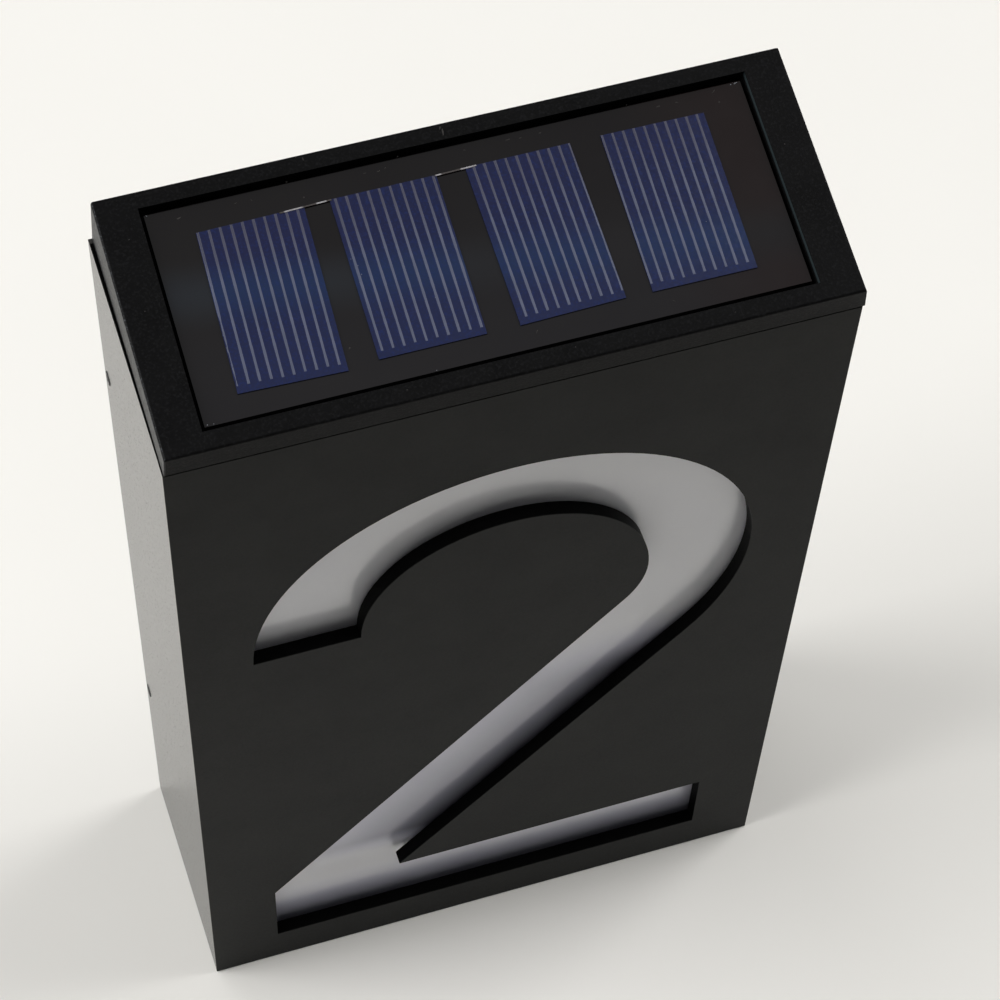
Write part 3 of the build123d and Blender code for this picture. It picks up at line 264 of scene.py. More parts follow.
# ---- plain materials: name, colour, roughness, what else they need, and the nodes that take them ----
METAL = {"metallic": 1.0}
PLAIN_NODES = (
    ("screw_black", (0.03, 0.03, 0.03), 0.4, {"grain": 0.2}, ("side_screws",)),
    ("foam", (0.04, 0.04, 0.04), 0.95, {"grain": 0.5, "relief": 0.15},
     ("diffuser_tape", "reflector_pads", "panel_adhesive")),
    ("white_plastic", (0.8, 0.8, 0.78), 0.55, {}, ("reflector",)),
    ("sheet_black", (0.014, 0.014, 0.014), 0.45, {"specular": 0.4}, ("back_plate",)),
    # black rubber, made darker and duller still as painted shade of the gap under the lid
    ("seal_rubber", (0.0012, 0.0012, 0.0012), 0.9, {"specular": 0.03}, ("lid_seal",)),
    ("carrier_black", (0.05, 0.05, 0.05), 0.55, {}, ("carrier_plate", "battery_holder")),
    ("screw_steel", (0.5, 0.5, 0.5), 0.35, METAL, ("carrier_screws", "board_screws")),
    ("chip_black", (0.02, 0.02, 0.02), 0.5, {}, ("driver_chip",)),
    ("ferrite", (0.1, 0.1, 0.1), 0.6, {}, ("inductor",)),
    ("switch_case", (0.6, 0.6, 0.6), 0.35, METAL, ("switch_body",)),
    ("slider_black", (0.03, 0.03, 0.03), 0.5, {}, ("switch_slider",)),
    ("led_lens", (0.85, 0.85, 0.8), 0.1, {}, ("leds",)),
    ("contact_metal", (0.7, 0.7, 0.68), 0.3, METAL, ("plate_contact", "spring_contact")),
)


# ---- geometry helpers ----
def top_point(x, s, depth=0.0):
    """A point given in millimetres across, up the slope of, and below the lid's top."""
    return TOP_ORIGIN + (TOP_X * x + TOP_Y * s - TOP_UP * depth) * MM


def cell_frame(index):
    """Matrix from a cell's own millimetres, with its middle on top at the origin, to the row frame."""
    aside, up = CELL_NUDGES[index]
    x = CELL_SHIFT + (index - (len(CELL_TILTS) - 1) / 2) * CELL_PITCH + aside
    place = Matrix.Translation(top_point(x, PANEL_MIDDLE + up, CELL_DEPTH))
    axes = Matrix((TOP_X, TOP_Y, TOP_UP)).transposed().to_4x4()
    tilt = Matrix.Rotation(math.radians(CELL_TILTS[index]), 4, "Z")
    return place @ axes @ tilt @ Matrix.Scale(MM, 4)


def circle(radius):
    """The points of a circle about the origin, in pairs."""
    angles = [2 * math.pi * side / TURNED_SIDES for side in range(TURNED_SIDES)]
    return [(radius * math.cos(angle), radius * math.sin(angle)) for angle in angles]


def make_object(name, bm, material, body, smooth=False):
    """Turns a bmesh into an object of one material that rides on a body."""
    mesh = bpy.data.meshes.new(name)
    bm.normal_update()
    bm.to_mesh(mesh)
    bm.free()
    mesh.materials.append(material)
    for polygon in mesh.polygons:
        polygon.use_smooth = smooth
    piece = bpy.data.objects.new(name, mesh)
    bpy.context.scene.collection.objects.link(piece)
    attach(piece, body)
    return piece


def finish_piece(name, bm, material, body, smooth=False):
    """Turns the faces outward and makes the object, with its slot."""
    bmesh.ops.recalc_face_normals(bm, faces=bm.faces)
    make_object(name, bm, material, body, smooth)


def skin(bm, rings, closed=False):
    """Faces from each ring of vertices to the next, and from the last to the first if closed."""
    count = len(rings[0])
    following = rings[1:] + rings[:1] if closed else rings[1:]
    for ring, after in zip(rings, following):
        for k in range(count):
            bm.faces.new((ring[k], ring[(k + 1) % count], after[(k + 1) % count], after[k]))


def add_strip(bm, rows, rise, matrix):
    """Thin low ridge through rows of (left x, right x, y): flat below, bevelled on top."""
    rings = []
    for left, right, y in rows:
        bevel = FINGER_BEVEL * (right - left)
        profile = ((left, 0.0), (left + bevel, rise), (right - bevel, rise), (right, 0.0))
        rings.append([bm.verts.new(matrix @ Vector((x, y, z))) for x, z in profile])
    skin(bm, rings)
    bm.faces.new(rings[0])
    bm.faces.new(tuple(reversed(rings[-1])))


def add_rings(bm, rings):
    """Closed skin over rings of points, with flat ends."""
    made = [[bm.verts.new(point) for point in ring] for ring in rings]
    skin(bm, made)
    bm.faces.new(tuple(reversed(made[0])))
    bm.faces.new(made[-1])


def add_turned(bm, profile, middle):
    """Piece turned about an upright axis through a point: (radius, distance along) pairs."""
    rings = []
    for radius, along in profile:
        rings.append([(middle + Vector((u, v, along))) * MM for u, v in circle(radius)])
    add_rings(bm, rings)


def add_block(bm, middle, size, chamfer):
    """Block that hangs from a point, with its lower edges taken off."""
    rings = []
    for inset, drop in ((0.0, 0.0), (0.0, size[2] - chamfer), (chamfer, size[2])):
        half_x, half_y = size[0] / 2 - inset, size[1] / 2 - inset
        corners = ((-half_x, -half_y), (half_x, -half_y), (half_x, half_y), (-half_x, half_y))
        rings.append([(middle + Vector((x, y, -drop))) * MM for x, y in corners])
    add_rings(bm, rings)


# ---- material helpers: each adds nodes and gives back a socket, unless it says otherwise ----
def new_material(name):
    """A material, its node tree and its shader."""
    material = bpy.data.materials.new(name)
    material.use_nodes = True
    tree = material.node_tree
    return material, tree, tree.nodes["Principled BSDF"]


def object_coordinates(tree):
    """Place at rest, in metres."""
    return tree.nodes.new("ShaderNodeTexCoord").outputs["Object"]


def noise(tree, size, detail=2.0, roughness=0.5, stretch=None):
    """Noise with features about that many millimetres across."""
    node = tree.nodes.new("ShaderNodeTexNoise")
    node.inputs["Scale"].default_value = 1.0 / (size * MM)
    node.inputs["Detail"].default_value = detail
    node.inputs["Roughness"].default_value = roughness
    source = object_coordinates(tree)
    if stretch:
        mapping = tree.nodes.new("ShaderNodeMapping")
        mapping.inputs["Scale"].default_value = stretch
        tree.links.new(source, mapping.inputs["Vector"])
        source = mapping.outputs["Vector"]
    tree.links.new(source, node.inputs["Vector"])
    return node.outputs["Fac"]


def remap(tree, value, low, high, from_low=0.3, from_high=0.7, smooth=False):
    """Value that goes from low to high as another goes through its range; noise's range by default."""
    node = tree.nodes.new("ShaderNodeMapRange")
    if smooth:
        node.interpolation_type = "SMOOTHSTEP"
    node.inputs["From Min"].default_value = from_low
    node.inputs["From Max"].default_value = from_high
    node.inputs["To Min"].default_value = low
    node.inputs["To Max"].default_value = high
    tree.links.new(value, node.inputs["Value"])
    return node.outputs["Result"]


def spread(tree, value, low, high):
    """Value that goes from low to high as another goes from 0 to 1."""
    return remap(tree, value, low, high, 0.0, 1.0)


def inverse(tree, value):
    """1 where the value is 0, and 0 where it is 1."""
    return spread(tree, value, 1.0, 0.0)


def times(tree, first, second):
    """Two values multiplied."""
    node = tree.nodes.new("ShaderNodeMath")
    node.operation = "MULTIPLY"
    tree.links.new(first, node.inputs[0])
    tree.links.new(second, node.inputs[1])
    return node.outputs["Value"]


def mix(tree, factor, first, second):
    """Mixes two colours, each a colour or the socket of one."""
    node = tree.nodes.new("ShaderNodeMix")
    node.data_type = "RGBA"
    tree.links.new(factor, node.inputs["Factor"])
    for socket, colour in ((node.inputs[6], first), (node.inputs[7], second)):
        if isinstance(colour, bpy.types.NodeSocket):
            tree.links.new(colour, socket)
        else:
            socket.default_value = (*colour, 1.0)
    return node.outputs[2]


def mottle(tree, size, detail=4.0, roughness=0.6):
    """0 to 1 in soft patches about that many millimetres across."""
    return remap(tree, noise(tree, size, detail, roughness), 0.0, 1.0)


def grey(level):
    """A grey colour, not a socket."""
    return (level, level, level)


def darker(colour):
    """The colour a little darker, not a socket."""
    return tuple(0.85 * c for c in colour)


def bump(tree, shader, height, depth):
    """Gives the shader relief of that many millimetres from a 0 to 1 height."""
    node = tree.nodes.new("ShaderNodeBump")
    node.inputs["Strength"].default_value = 1.0
    node.inputs["Distance"].default_value = depth * MM
    tree.links.new(height, node.inputs["Height"])
    tree.links.new(node.outputs["Normal"], shader.inputs["Normal"])


def paint(tree, shader, colour):
    """Gives the shader its colour."""
    tree.links.new(colour, shader.inputs["Base Color"])


def add_grain(tree, shader, grain, rough, relief, soft=0.5, detail=3.0):
    """Gives the shader a fine grain, in relief and in a roughness between two values."""
    fine = noise(tree, grain, detail, soft)
    tree.links.new(remap(tree, fine, rough[0], rough[1]), shader.inputs["Roughness"])
    bump(tree, shader, fine, relief)


def surface(name, colours, patch, rough, grain, relief, metallic=0.0, specular=0.5, tint=(1.0, 1.0, 1.0)):
    """Material of two colours mottled in patches, with a fine grain."""
    material, tree, shader = new_material(name)
    paint(tree, shader, mix(tree, mottle(tree, patch), *colours))
    add_grain(tree, shader, grain, rough, relief, 0.6)
    shader.inputs["Metallic"].default_value = metallic
    shader.inputs["Specular IOR Level"].default_value = specular
    shader.inputs["Specular Tint"].default_value = (*tint, 1.0)
    return material


def plain(name, colour, rough=0.5, metallic=0.0, grain=0.4, relief=0.01, specular=0.5):
    """Material whose two colours lie close about one."""
    light = tuple(min(1.0, 1.12 * c) for c in colour)
    roughness = (0.85 * rough, min(1.0, 1.15 * rough))
    return surface(name, (darker(colour), light), 4.0, roughness, grain, relief, metallic, specular)


# ---- where on the sign: each gives back a socket ----
def coordinate(tree, axis):
    """Place at rest along one axis, in metres."""
    split = tree.nodes.new("ShaderNodeSeparateXYZ")
    tree.links.new(object_coordinates(tree), split.inputs["Vector"])
    return split.outputs[axis]


def plane_distance(tree, point, normal):
    """Metres from a plane, counted along its normal."""
    offset = tree.nodes.new("ShaderNodeVectorMath")
    offset.operation = "SUBTRACT"
    offset.inputs[1].default_value = point
    tree.links.new(object_coordinates(tree), offset.inputs[0])
    along = tree.nodes.new("ShaderNodeVectorMath")
    along.operation = "DOT_PRODUCT"
    along.inputs[1].default_value = normal.normalized()
    tree.links.new(offset.outputs["Vector"], along.inputs[0])
    return along.outputs["Value"]


def slope_depth(tree):
    """Metres below the lid's sloping top."""
    return plane_distance(tree, TOP_ORIGIN, -TOP_UP)


def slope_distance(tree, middle, slant=0.0):
    """Metres up the slope from a line across it that leans by slant."""
    return plane_distance(tree, top_point(0, middle), TOP_Y + TOP_X * slant)


def frontward(tree, start, end):
    """0 to 1 down the slope, between two places counted up it from the panel's middle."""
    return remap(tree, slope_distance(tree, PANEL_MIDDLE), 0.0, 1.0, start * MM, end * MM, smooth=True)


def ramp(tree, axis, start, end, low=0.0, high=1.0):
    """Value that goes smoothly from low to high between two places along an axis."""
    return remap(tree, coordinate(tree, axis), low, high, start * MM, end * MM, smooth=True)


def between(tree, left, right, blur):
    """1 between two places across the sign, 0 outside them."""
    begun = ramp(tree, "X", left, left + blur)
    unended = ramp(tree, "X", right - blur, right, 1.0, 0.0)
    return times(tree, begun, unended)


def beyond(tree, axis, place, blur=0.05):
    """1 past a place along an axis, 0 before it."""
    return remap(tree, coordinate(tree, axis), 0.0, 1.0, (place - blur) * MM, (place + blur) * MM)


def painted_reflection_band(tree):
    """0 to 1 across the panel, highest along a soft slanting band of painted reflection through the cells'
    middles.
    """
    distance = tree.nodes.new("ShaderNodeMath")
    distance.operation = "ABSOLUTE"
    tree.links.new(slope_distance(tree, BAND_MIDDLE, BAND_SLANT), distance.inputs[0])
    return remap(tree, distance.outputs["Value"], 1.0, 0.0, 0.0, BAND_HALF * MM, smooth=True)


def recess_wall_painted_light(tree):
    """Painted light: 1 on the right wall of the panel's recess, which the left lamp lights, fading
    downward, and 0 elsewhere.
    """
    depth = slope_depth(tree)
    below_top = remap(tree, depth, 0.0, 1.0, WALL_FADE_IN[0] * MM, WALL_FADE_IN[1] * MM)
    shallow = remap(tree, depth, 1.0, 0.0, WALL_FADE_OUT[0] * MM, WALL_FADE_OUT[1] * MM)
    beside = between(tree, RECESS_RIGHT - WALL_REACH, RECESS_RIGHT + WALL_REACH, WALL_BLUR)
    behind = remap(tree, slope_distance(tree, RECESS_FRONT), 0.0, 1.0, -WALL_BLUR * MM, 0.0)
    return times(tree, times(tree, below_top, beside), times(tree, behind, shallow))


def opal_painted_shade(tree):
    """Painted shade: 1 where the milky sheet is unshaded, less toward the foot of the bar and the
    diagonal's lower edge, whose edges in the front plate keep light off it.
    """
    foot = ramp(tree, "Z", BAR_FOOT, BAR_FOOT + FOOT_REACH, FOOT_PAINTED_SHADE, 1.0)
    lean = math.radians(DIAGONAL_ANGLE)
    inward = Vector((-math.sin(lean), 0.0, math.cos(lean)))
    corner = Vector((DIAGONAL_CORNER[0], 0.0, DIAGONAL_CORNER[1])) * MM
    close = remap(tree, plane_distance(tree, corner, inward), 1.0, 0.0, 0.0, DIAGONAL_REACH * MM)
    above = ramp(tree, "Z", *DIAGONAL_FADE_IN)
    below = ramp(tree, "Z", *DIAGONAL_FADE_OUT, 1.0, 0.0)
    diagonal = spread(tree, times(tree, close, times(tree, above, below)), 1.0, DIAGONAL_PAINTED_SHADE)
    return times(tree, foot, diagonal)


def before_battery(tree):
    """0 where the battery's short red lead lies, 1 elsewhere."""
    right = beyond(tree, "X", BATTERY_LEADS_SPLIT[0])
    front = inverse(tree, beyond(tree, "Y", BATTERY_LEADS_SPLIT[1]))
    return inverse(tree, times(tree, right, front))


# ---- materials of the housing and the lid ----
def front_black():
    """Satin black; the cut edges of the figure are duller and darker than the face."""
    material, tree, shader = new_material("front_black")
    face = mix(tree, mottle(tree, 14.0), *FRONT_FACE)
    cut = beyond(tree, "Y", FRONT_Y + CUT_BEGINS)
    paint(tree, shader, mix(tree, cut, face, FRONT_CUT))
    tree.links.new(spread(tree, cut, 0.09, 0.02), shader.inputs["Specular IOR Level"])
    add_grain(tree, shader, grain=0.35, rough=(0.42, 0.52), relief=0.004, soft=0.6)
    return material


def shell_black():
    """Glossier black of the bent sheet."""
    return surface("shell_black", SHELL, patch=12.0, rough=(0.2, 0.3), grain=0.5, relief=0.004,
                   specular=1.0, tint=SHELL_SHINE)


def lid_black():
    """Pebbled black, smoother on the left side, with painted glints there; painted light makes the right
    wall of the panel's recess paler.
    """
    material, tree, shader = new_material("lid_black")
    pebbles = noise(tree, 0.5, 2.0, 0.6)
    left_side = ramp(tree, "X", LID_LEFT, LID_LEFT + 0.2, 1.0, 0.0)
    raised = remap(tree, pebbles, 0.0, 1.0, 0.5, 0.72)
    colour = mix(tree, raised, mix(tree, mottle(tree, 9.0), *LID), LID_PEBBLES)
    # painted glints: pale specks on the lit left side, where pebbles catch the light
    painted_glints = remap(tree, noise(tree, 0.35, 2.0, 0.6), 0.0, 1.0, 0.56, 0.68)
    colour = mix(tree, times(tree, left_side, painted_glints), colour, LID_PAINTED_GLINTS)
    # painted light: the recess's right wall is paler where the left lamp lights it
    paint(tree, shader, mix(tree, recess_wall_painted_light(tree), colour, LID_WALL_PAINTED_LIGHT))
    coarse = mix(tree, left_side, grey(0.62), grey(0.48))
    fine = mix(tree, left_side, grey(0.48), grey(0.34))
    roughness = mix(tree, remap(tree, pebbles, 0.0, 1.0), fine, coarse)
    tree.links.new(roughness, shader.inputs["Roughness"])
    tree.links.new(spread(tree, left_side, 0.05, 0.11), shader.inputs["Specular IOR Level"])
    bump(tree, shader, pebbles, 0.05)
    return material


def opal():
    """Milky sheet: light that enters it spreads a little way under the front plate's edges; painted shade
    darkens it toward the bar's foot and the diagonal's lower edge.
    """
    material, tree, shader = new_material("opal")
    unshaded = mix(tree, mottle(tree, 30.0), *OPAL_UNSHADED)
    # painted shade: the sheet's colour goes dark where the front plate's edges would shade it
    paint(tree, shader, mix(tree, opal_painted_shade(tree), OPAL_PAINTED_SHADE, unshaded))
    add_grain(tree, shader, grain=4.0, rough=(0.13, 0.19), relief=0.01, soft=0.6)
    shader.inputs["Specular IOR Level"].default_value = 0.85
    shader.inputs["Subsurface Weight"].default_value = 1.0
    shader.inputs["Subsurface Radius"].default_value = (1.0, 1.0, 1.0)
    shader.inputs["Subsurface Scale"].default_value = OPAL_SPREAD * MM
    return material


# ---- materials of the solar panel ----
def panel_board():
    """Glossy near-black with painted reflections: lighter toward the front, redder to the right and bluer
    along the band.
    """
    material, tree, shader = new_material("panel_board")
    patches = mottle(tree, 22.0, 2.0, 0.5)
    # painted reflections of the room: lighter toward the front, reddish to the right, bluish along the band
    back = mix(tree, patches, *BOARD_BACK)
    front = mix(tree, patches, *BOARD_FRONT_PAINTED_REFLECTION)
    right = ramp(tree, "X", 25.0, 54.0, 0.0, 0.6)
    reddish = mix(tree, right, mix(tree, frontward(tree, 14, -14), back, front), BOARD_RIGHT_PAINTED_REFLECTION)
    blue = mix(tree, ramp(tree, "X", -50.0, 35.0), BOARD_BAND_LEFT_PAINTED_REFLECTION, BOARD_BAND_RIGHT_PAINTED_REFLECTION)
    paint(tree, shader, mix(tree, painted_reflection_band(tree), reddish, blue))
    add_grain(tree, shader, grain=5.0, rough=(0.05, 0.12), relief=0.008)
    return material


def silicon():
    """Dark blue cell with faint streaks and grains, and painted reflection: lighter toward the front and
    brighter along the band.
    """
    material, tree, shader = new_material("silicon")
    patches = mottle(tree, 11.0, 2.0, 0.5)
    # painted reflection: lighter toward the front and along the band
    back = mix(tree, patches, *CELL_BACK)
    front = mix(tree, patches, *CELL_FRONT_PAINTED_REFLECTION)
    tint = mix(tree, painted_reflection_band(tree), mix(tree, frontward(tree, 10, -12), back, front), CELL_BAND_PAINTED_REFLECTION)
    streaks = remap(tree, noise(tree, 0.5, 2.0, 0.5, (3.0, 0.5, 0.5)), 0.0, 0.3)
    streaked = mix(tree, streaks, tint, CELL_STREAKS)
    grains = remap(tree, noise(tree, 0.45, 1.0, 0.5), 0.0, 0.45, 0.5, 0.7)
    paint(tree, shader, mix(tree, grains, streaked, CELL_GRAINS))
    add_grain(tree, shader, grain=0.6, rough=(0.14, 0.24), relief=0.0012, detail=2.0)
    return material


def cell_silver():
    """Fine silver print, with painted reflection that makes it brighter toward the front."""
    material, tree, shader = new_material("cell_silver")
    patches = mottle(tree, 4.0, 3.0)
    # painted reflection: the print is brighter toward the front
    back = mix(tree, patches, *SILVER_BACK)
    front = mix(tree, patches, *SILVER_FRONT_PAINTED_REFLECTION)
    paint(tree, shader, mix(tree, frontward(tree, 14, 2), back, front))
    add_grain(tree, shader, grain=0.3, rough=(0.45, 0.6), relief=0.002)
    return material


def ribbon_solder():
    """Tinned ribbon, bright only where the solder has stayed clean."""
    material, tree, shader = new_material("ribbon_solder")
    patches = mottle(tree, 1.5, 3.0)
    colour = mix(tree, patches, *RIBBON_DULL)
    clean = mix(tree, patches, *RIBBON_CLEAN)
    for left, right in RIBBON_BRIGHT:
        colour = mix(tree, between(tree, left, right, RIBBON_BLUR), colour, clean)
    paint(tree, shader, colour)
    add_grain(tree, shader, grain=0.4, rough=(0.35, 0.5), relief=0.01)
    return material


def dust_grey():
    """Dull dust and faint scratches."""
    return surface("dust_grey", DUST, patch=0.5, rough=(0.8, 0.95), grain=0.2, relief=0.01)


def chip_silver():
    """Bare silver where a cell is chipped."""
    return surface("chip_silver", CHIP_SILVER, patch=0.6, rough=(0.5, 0.7), grain=0.2, relief=0.01)


def crumb_white():
    """Pale crumbs."""
    return surface("crumb_white", CRUMB, patch=0.5, rough=(0.6, 0.8), grain=0.2, relief=0.03)


# ---- materials of the pieces inside ----
def two_tone(name, mask, first, second, rough, metallic=0.0):
    """Two mottled colours, parted by what mask makes of the material's tree."""
    material, tree, shader = new_material(name)
    patches = mottle(tree, 3.0, 3.0)
    pair = [mix(tree, patches, darker(colour), colour) for colour in (first, second)]
    paint(tree, shader, mix(tree, mask(tree), *pair))
    add_grain(tree, shader, grain=0.4, rough=(0.85 * rough, 1.15 * rough), relief=0.006)
    shader.inputs["Metallic"].default_value = metallic
    return material


def lead_material(name, mask):
    """Red and black sleeves of a pair of leads."""
    return two_tone(name, mask, LEAD_RED, LEAD_BLACK, 0.45)


def battery_sleeve():
    """Green sleeve with a pale band toward the nub; the ends are bare steel."""
    material, tree, shader = new_material("battery_sleeve")
    patches = mottle(tree, 6.0, 3.0)
    green = mix(tree, patches, *SLEEVE_GREEN)
    pale = mix(tree, patches, *SLEEVE_PALE)
    wrapped = mix(tree, beyond(tree, "X", BATTERY_BAND), green, pale)
    before_nub = inverse(tree, beyond(tree, "X", BATTERY_SLEEVE[1]))
    sleeved = times(tree, beyond(tree, "X", BATTERY_SLEEVE[0]), before_nub)
    paint(tree, shader, mix(tree, sleeved, BATTERY_STEEL, wrapped))
    tree.links.new(inverse(tree, sleeved), shader.inputs["Metallic"])
    add_grain(tree, shader, grain=0.5, rough=(0.24, 0.34), relief=0.004)
    return material


def board_mask(name):
    """Green lacquer over copper tracks that show through a little."""
    material, tree, shader = new_material(name)
    squares = tree.nodes.new("ShaderNodeTexVoronoi")
    squares.distance = "CHEBYCHEV"
    squares.inputs["Scale"].default_value = 1.0 / (TRACK_PITCH * MM)
    squares.inputs["Randomness"].default_value = 0.8
    tree.links.new(object_coordinates(tree), squares.inputs["Vector"])
    inner = remap(tree, squares.outputs["Distance"], 0.0, 1.0, 0.3, 0.32)
    outer = remap(tree, squares.outputs["Distance"], 1.0, 0.0, 0.38, 0.4)
    tracks = times(tree, inner, outer)
    patches = mottle(tree, 3.0, 3.0, 0.5)
    paint(tree, shader, mix(tree, tracks, mix(tree, patches, *LACQUER), TRACKS))
    tree.links.new(spread(tree, patches, 0.25, 0.35), shader.inputs["Roughness"])
    bump(tree, shader, tracks, 0.03)
    return material


# ---- materials onto the nodes ----
def assign(material, *names):
    """Gives the named nodes one material."""
    for name in names:
        mesh = NODES[name].data
        if not mesh.materials:
            mesh.materials.append(material)
        for index in range(len(mesh.materials)):
            mesh.materials[index] = material


def dress_leads():
    """Red sleeve left or in front, black sleeve beside it."""
    for name, places in (("panel_leads", PANEL_LEADS_X), ("led_leads", LED_LEADS_X)):
        middle = sum(places) / 2
        assign(lead_material(f"sleeve_{name}", lambda tree, x=middle: beyond(tree, "X", x)), name)
    assign(lead_material("sleeve_battery_leads", before_battery), "battery_leads")


def dress_capacitor():
    """Bare can with a dark stripe."""
    stripe = CAPACITOR_AT.x - CAPACITOR_STRIPE
    assign(two_tone("can", lambda tree: beyond(tree, "X", stripe), CAN_BARE, CAN_STRIPE, 0.35), "capacitor")


def dress_cad_nodes(shell):
    """Gives every node its material."""
    assign(front_black(), "front_plate")
    assign(shell, "housing_shell")
    assign(lid_black(), "lid")
    assign(opal(), "diffuser")
    assign(panel_board(), "solar_panel")
    assign(silicon(), *[f"solar_cell_{k}" for k in range(1, 5)])
    assign(ribbon_solder(), "cell_ribbons")
    assign(board_mask("board_green"), "control_board", "led_board")
    assign(battery_sleeve(), "battery")
    dress_capacitor()
    dress_leads()
    for name, colour, rough, more, nodes in PLAIN_NODES:
        assign(plain(name, colour, rough, **more), *nodes)


# ---- pieces on the panel, the lid and the housing ----
def finger_rows(index, cell):
    """Rows of one finger of a cell, from its back edge to near its front edge, never past its sides."""
    x = -CELL_WIDTH / 2 + FINGER_FIRST[cell] + index * FINGER_PITCH
    limit = CELL_WIDTH / 2 - CELL_MARGIN
    start = CELL_LENGTH / 2 + x * math.tan(math.radians(CELL_SLANTS[cell])) - CELL_MARGIN
    end = -CELL_LENGTH / 2 + FINGER_END_GAP + random.uniform(-FINGER_END_PLAY, FINGER_END_PLAY)
    rows = []
    for step in range(FINGER_STEPS + 1):
        half = FINGER_WIDTH * random.uniform(*FINGER_HALF)
        y = start + (end - start) * step / FINGER_STEPS
        if (cell, index) == WORN_FINGER and y < WORN_BELOW:
            half *= random.uniform(*WORN_LEFT)
        rows.append((max(x - half, -limit), min(x + half, limit), y))
    return rows


def add_fingers(material):
    """The printed fingers, one piece for each cell."""
    for cell in range(len(CELL_TILTS)):
        bm = bmesh.new()
        matrix = cell_frame(cell)
        for index in range(FINGER_COUNT):
            add_strip(bm, finger_rows(index, cell), FINGER_RISE, matrix)
        piece = make_object(f"cell_fingers_{cell + 1}", bm, material, "lid")


def add_fleck(bm, fleck, depth, rise):
    """Flat irregular crumb on the slope."""
    x, s, long, wide, turn = fleck
    cosine, sine = math.cos(math.radians(turn)), math.sin(math.radians(turn))
    low, high = [], []
    for side in range(FLECK_SIDES):
        angle = 2 * math.pi * side / FLECK_SIDES
        reach = random.uniform(*FLECK_REACH)
        u = reach * long / 2 * math.cos(angle)
        v = reach * wide / 2 * math.sin(angle)
        dx = u * cosine - v * sine
        ds = u * sine + v * cosine
        low.append(bm.verts.new(top_point(x + dx, s + ds, depth)))
        high.append(bm.verts.new(top_point(x + FLECK_TOP * dx, s + FLECK_TOP * ds, depth - rise)))
    skin(bm, [low, high])
    bm.faces.new(high)
    bm.faces.new(tuple(reversed(low)))


def add_flecks(name, flecks, depth, material, rise=FLECK_RISE):
    """One piece of all the flecks in a list."""
    bm = bmesh.new()
    for fleck in flecks:
        add_fleck(bm, fleck, depth, rise)
    make_object(name, bm, material, "lid")


def add_marks():
    """Dust, crumbs, chips and scratches."""
    dust = dust_grey()
    add_flecks("panel_flecks", PANEL_FLECKS, BOARD_DEPTH, dust)
    add_flecks("panel_crumbs", PANEL_CRUMBS, BOARD_DEPTH, crumb_white(), CRUMB_RISE)
    add_flecks("cell_chips", CELL_CHIPS, CELL_DEPTH, chip_silver(), CHIP_RISE)
    add_flecks("gap_crumbs", GAP_CRUMBS, BOARD_DEPTH + GAP_CRUMB_SINK, dust, GAP_CRUMB_RISE)
    add_flecks("bezel_marks", BEZEL_MARKS, 0.0, dust, MARK_RISE)


def add_edge_skins(material):
    """The sides' gloss runs on over the front plate's edges."""
    front, back = FRONT_Y + SKIN_MARGIN, SHELL_Y
    for name, side in (("edge_skin_left", -1), ("edge_skin_right", 1)):
        bm = bmesh.new()
        x_in, x_out = side * (HALF_WIDTH - SKIN_INSET), side * (HALF_WIDTH + SKIN_RISE)
        foot, head = [], []
        for x, y in ((x_in, front), (x_out, front), (x_out, back), (x_in, back)):
            top = FRONT_HEIGHT + (y - FRONT_Y) * RIM_SLOPE - SKIN_DROP
            foot.append(Vector((x, y, SKIN_MARGIN)) * MM)
            head.append(Vector((x, y, top)) * MM)
        add_rings(bm, [foot, head])
        finish_piece(name, bm, material, "housing")


# ---- pieces inside the lid ----
def add_winding(material):
    """Copper turns between the inductor's flanges."""
    bm = bmesh.new()
    inner, outer = COIL_RADII
    profile = []
    for turn in range(COIL_TURNS):
        profile.append((inner, turn * COIL_PITCH))
        profile += [(outer, (turn + part) * COIL_PITCH) for part in COIL_CROWN]
    profile.append((inner, COIL_TURNS * COIL_PITCH))
    add_turned(bm, profile, COIL_AT)
    finish_piece("coil_winding", bm, material, "lid")


def resistor_places():
    """For each resistor, the middle of its top and whether it is turned."""
    places = []
    for aside, back, turned in BOARD_RESISTORS:
        places.append((BOARD_MIDDLE + Vector((aside, back, 0)), turned))
    for x in LED_PLACES:
        inward = x - math.copysign(LED_RESISTOR_SHIFT, x)
        places.append((Vector((inward, LED_BOARD_Y, LED_BOARD_UNDER)), True))
    return places


def add_resistors(ceramic, tinned):
    """Ceramic bodies with a tinned cap at each end."""
    bodies, ends = bmesh.new(), bmesh.new()
    length, breadth, height = RESISTOR_SIZE
    cap_breadth, cap_height = breadth + CAP_PROUD[1], height + CAP_PROUD[2]
    cap_reach = length / 2 - RESISTOR_CAP / 2 + CAP_PROUD[0]
    for middle, turned in resistor_places():
        axis = Vector((1, 0, 0))
        size = (length, breadth, height)
        cap = (RESISTOR_CAP, cap_breadth, cap_height)
        if turned:
            axis = Vector((0, 1, 0))
            size = (breadth, length, height)
            cap = (cap_breadth, RESISTOR_CAP, cap_height)
        add_block(bodies, middle, size, RESISTOR_CHAMFER)
        for side in (-1, 1):
            add_block(ends, middle + axis * side * cap_reach, cap, RESISTOR_CHAMFER)
    finish_piece("resistor_bodies", bodies, ceramic, "lid")
    finish_piece("resistor_ends", ends, tinned, "lid")


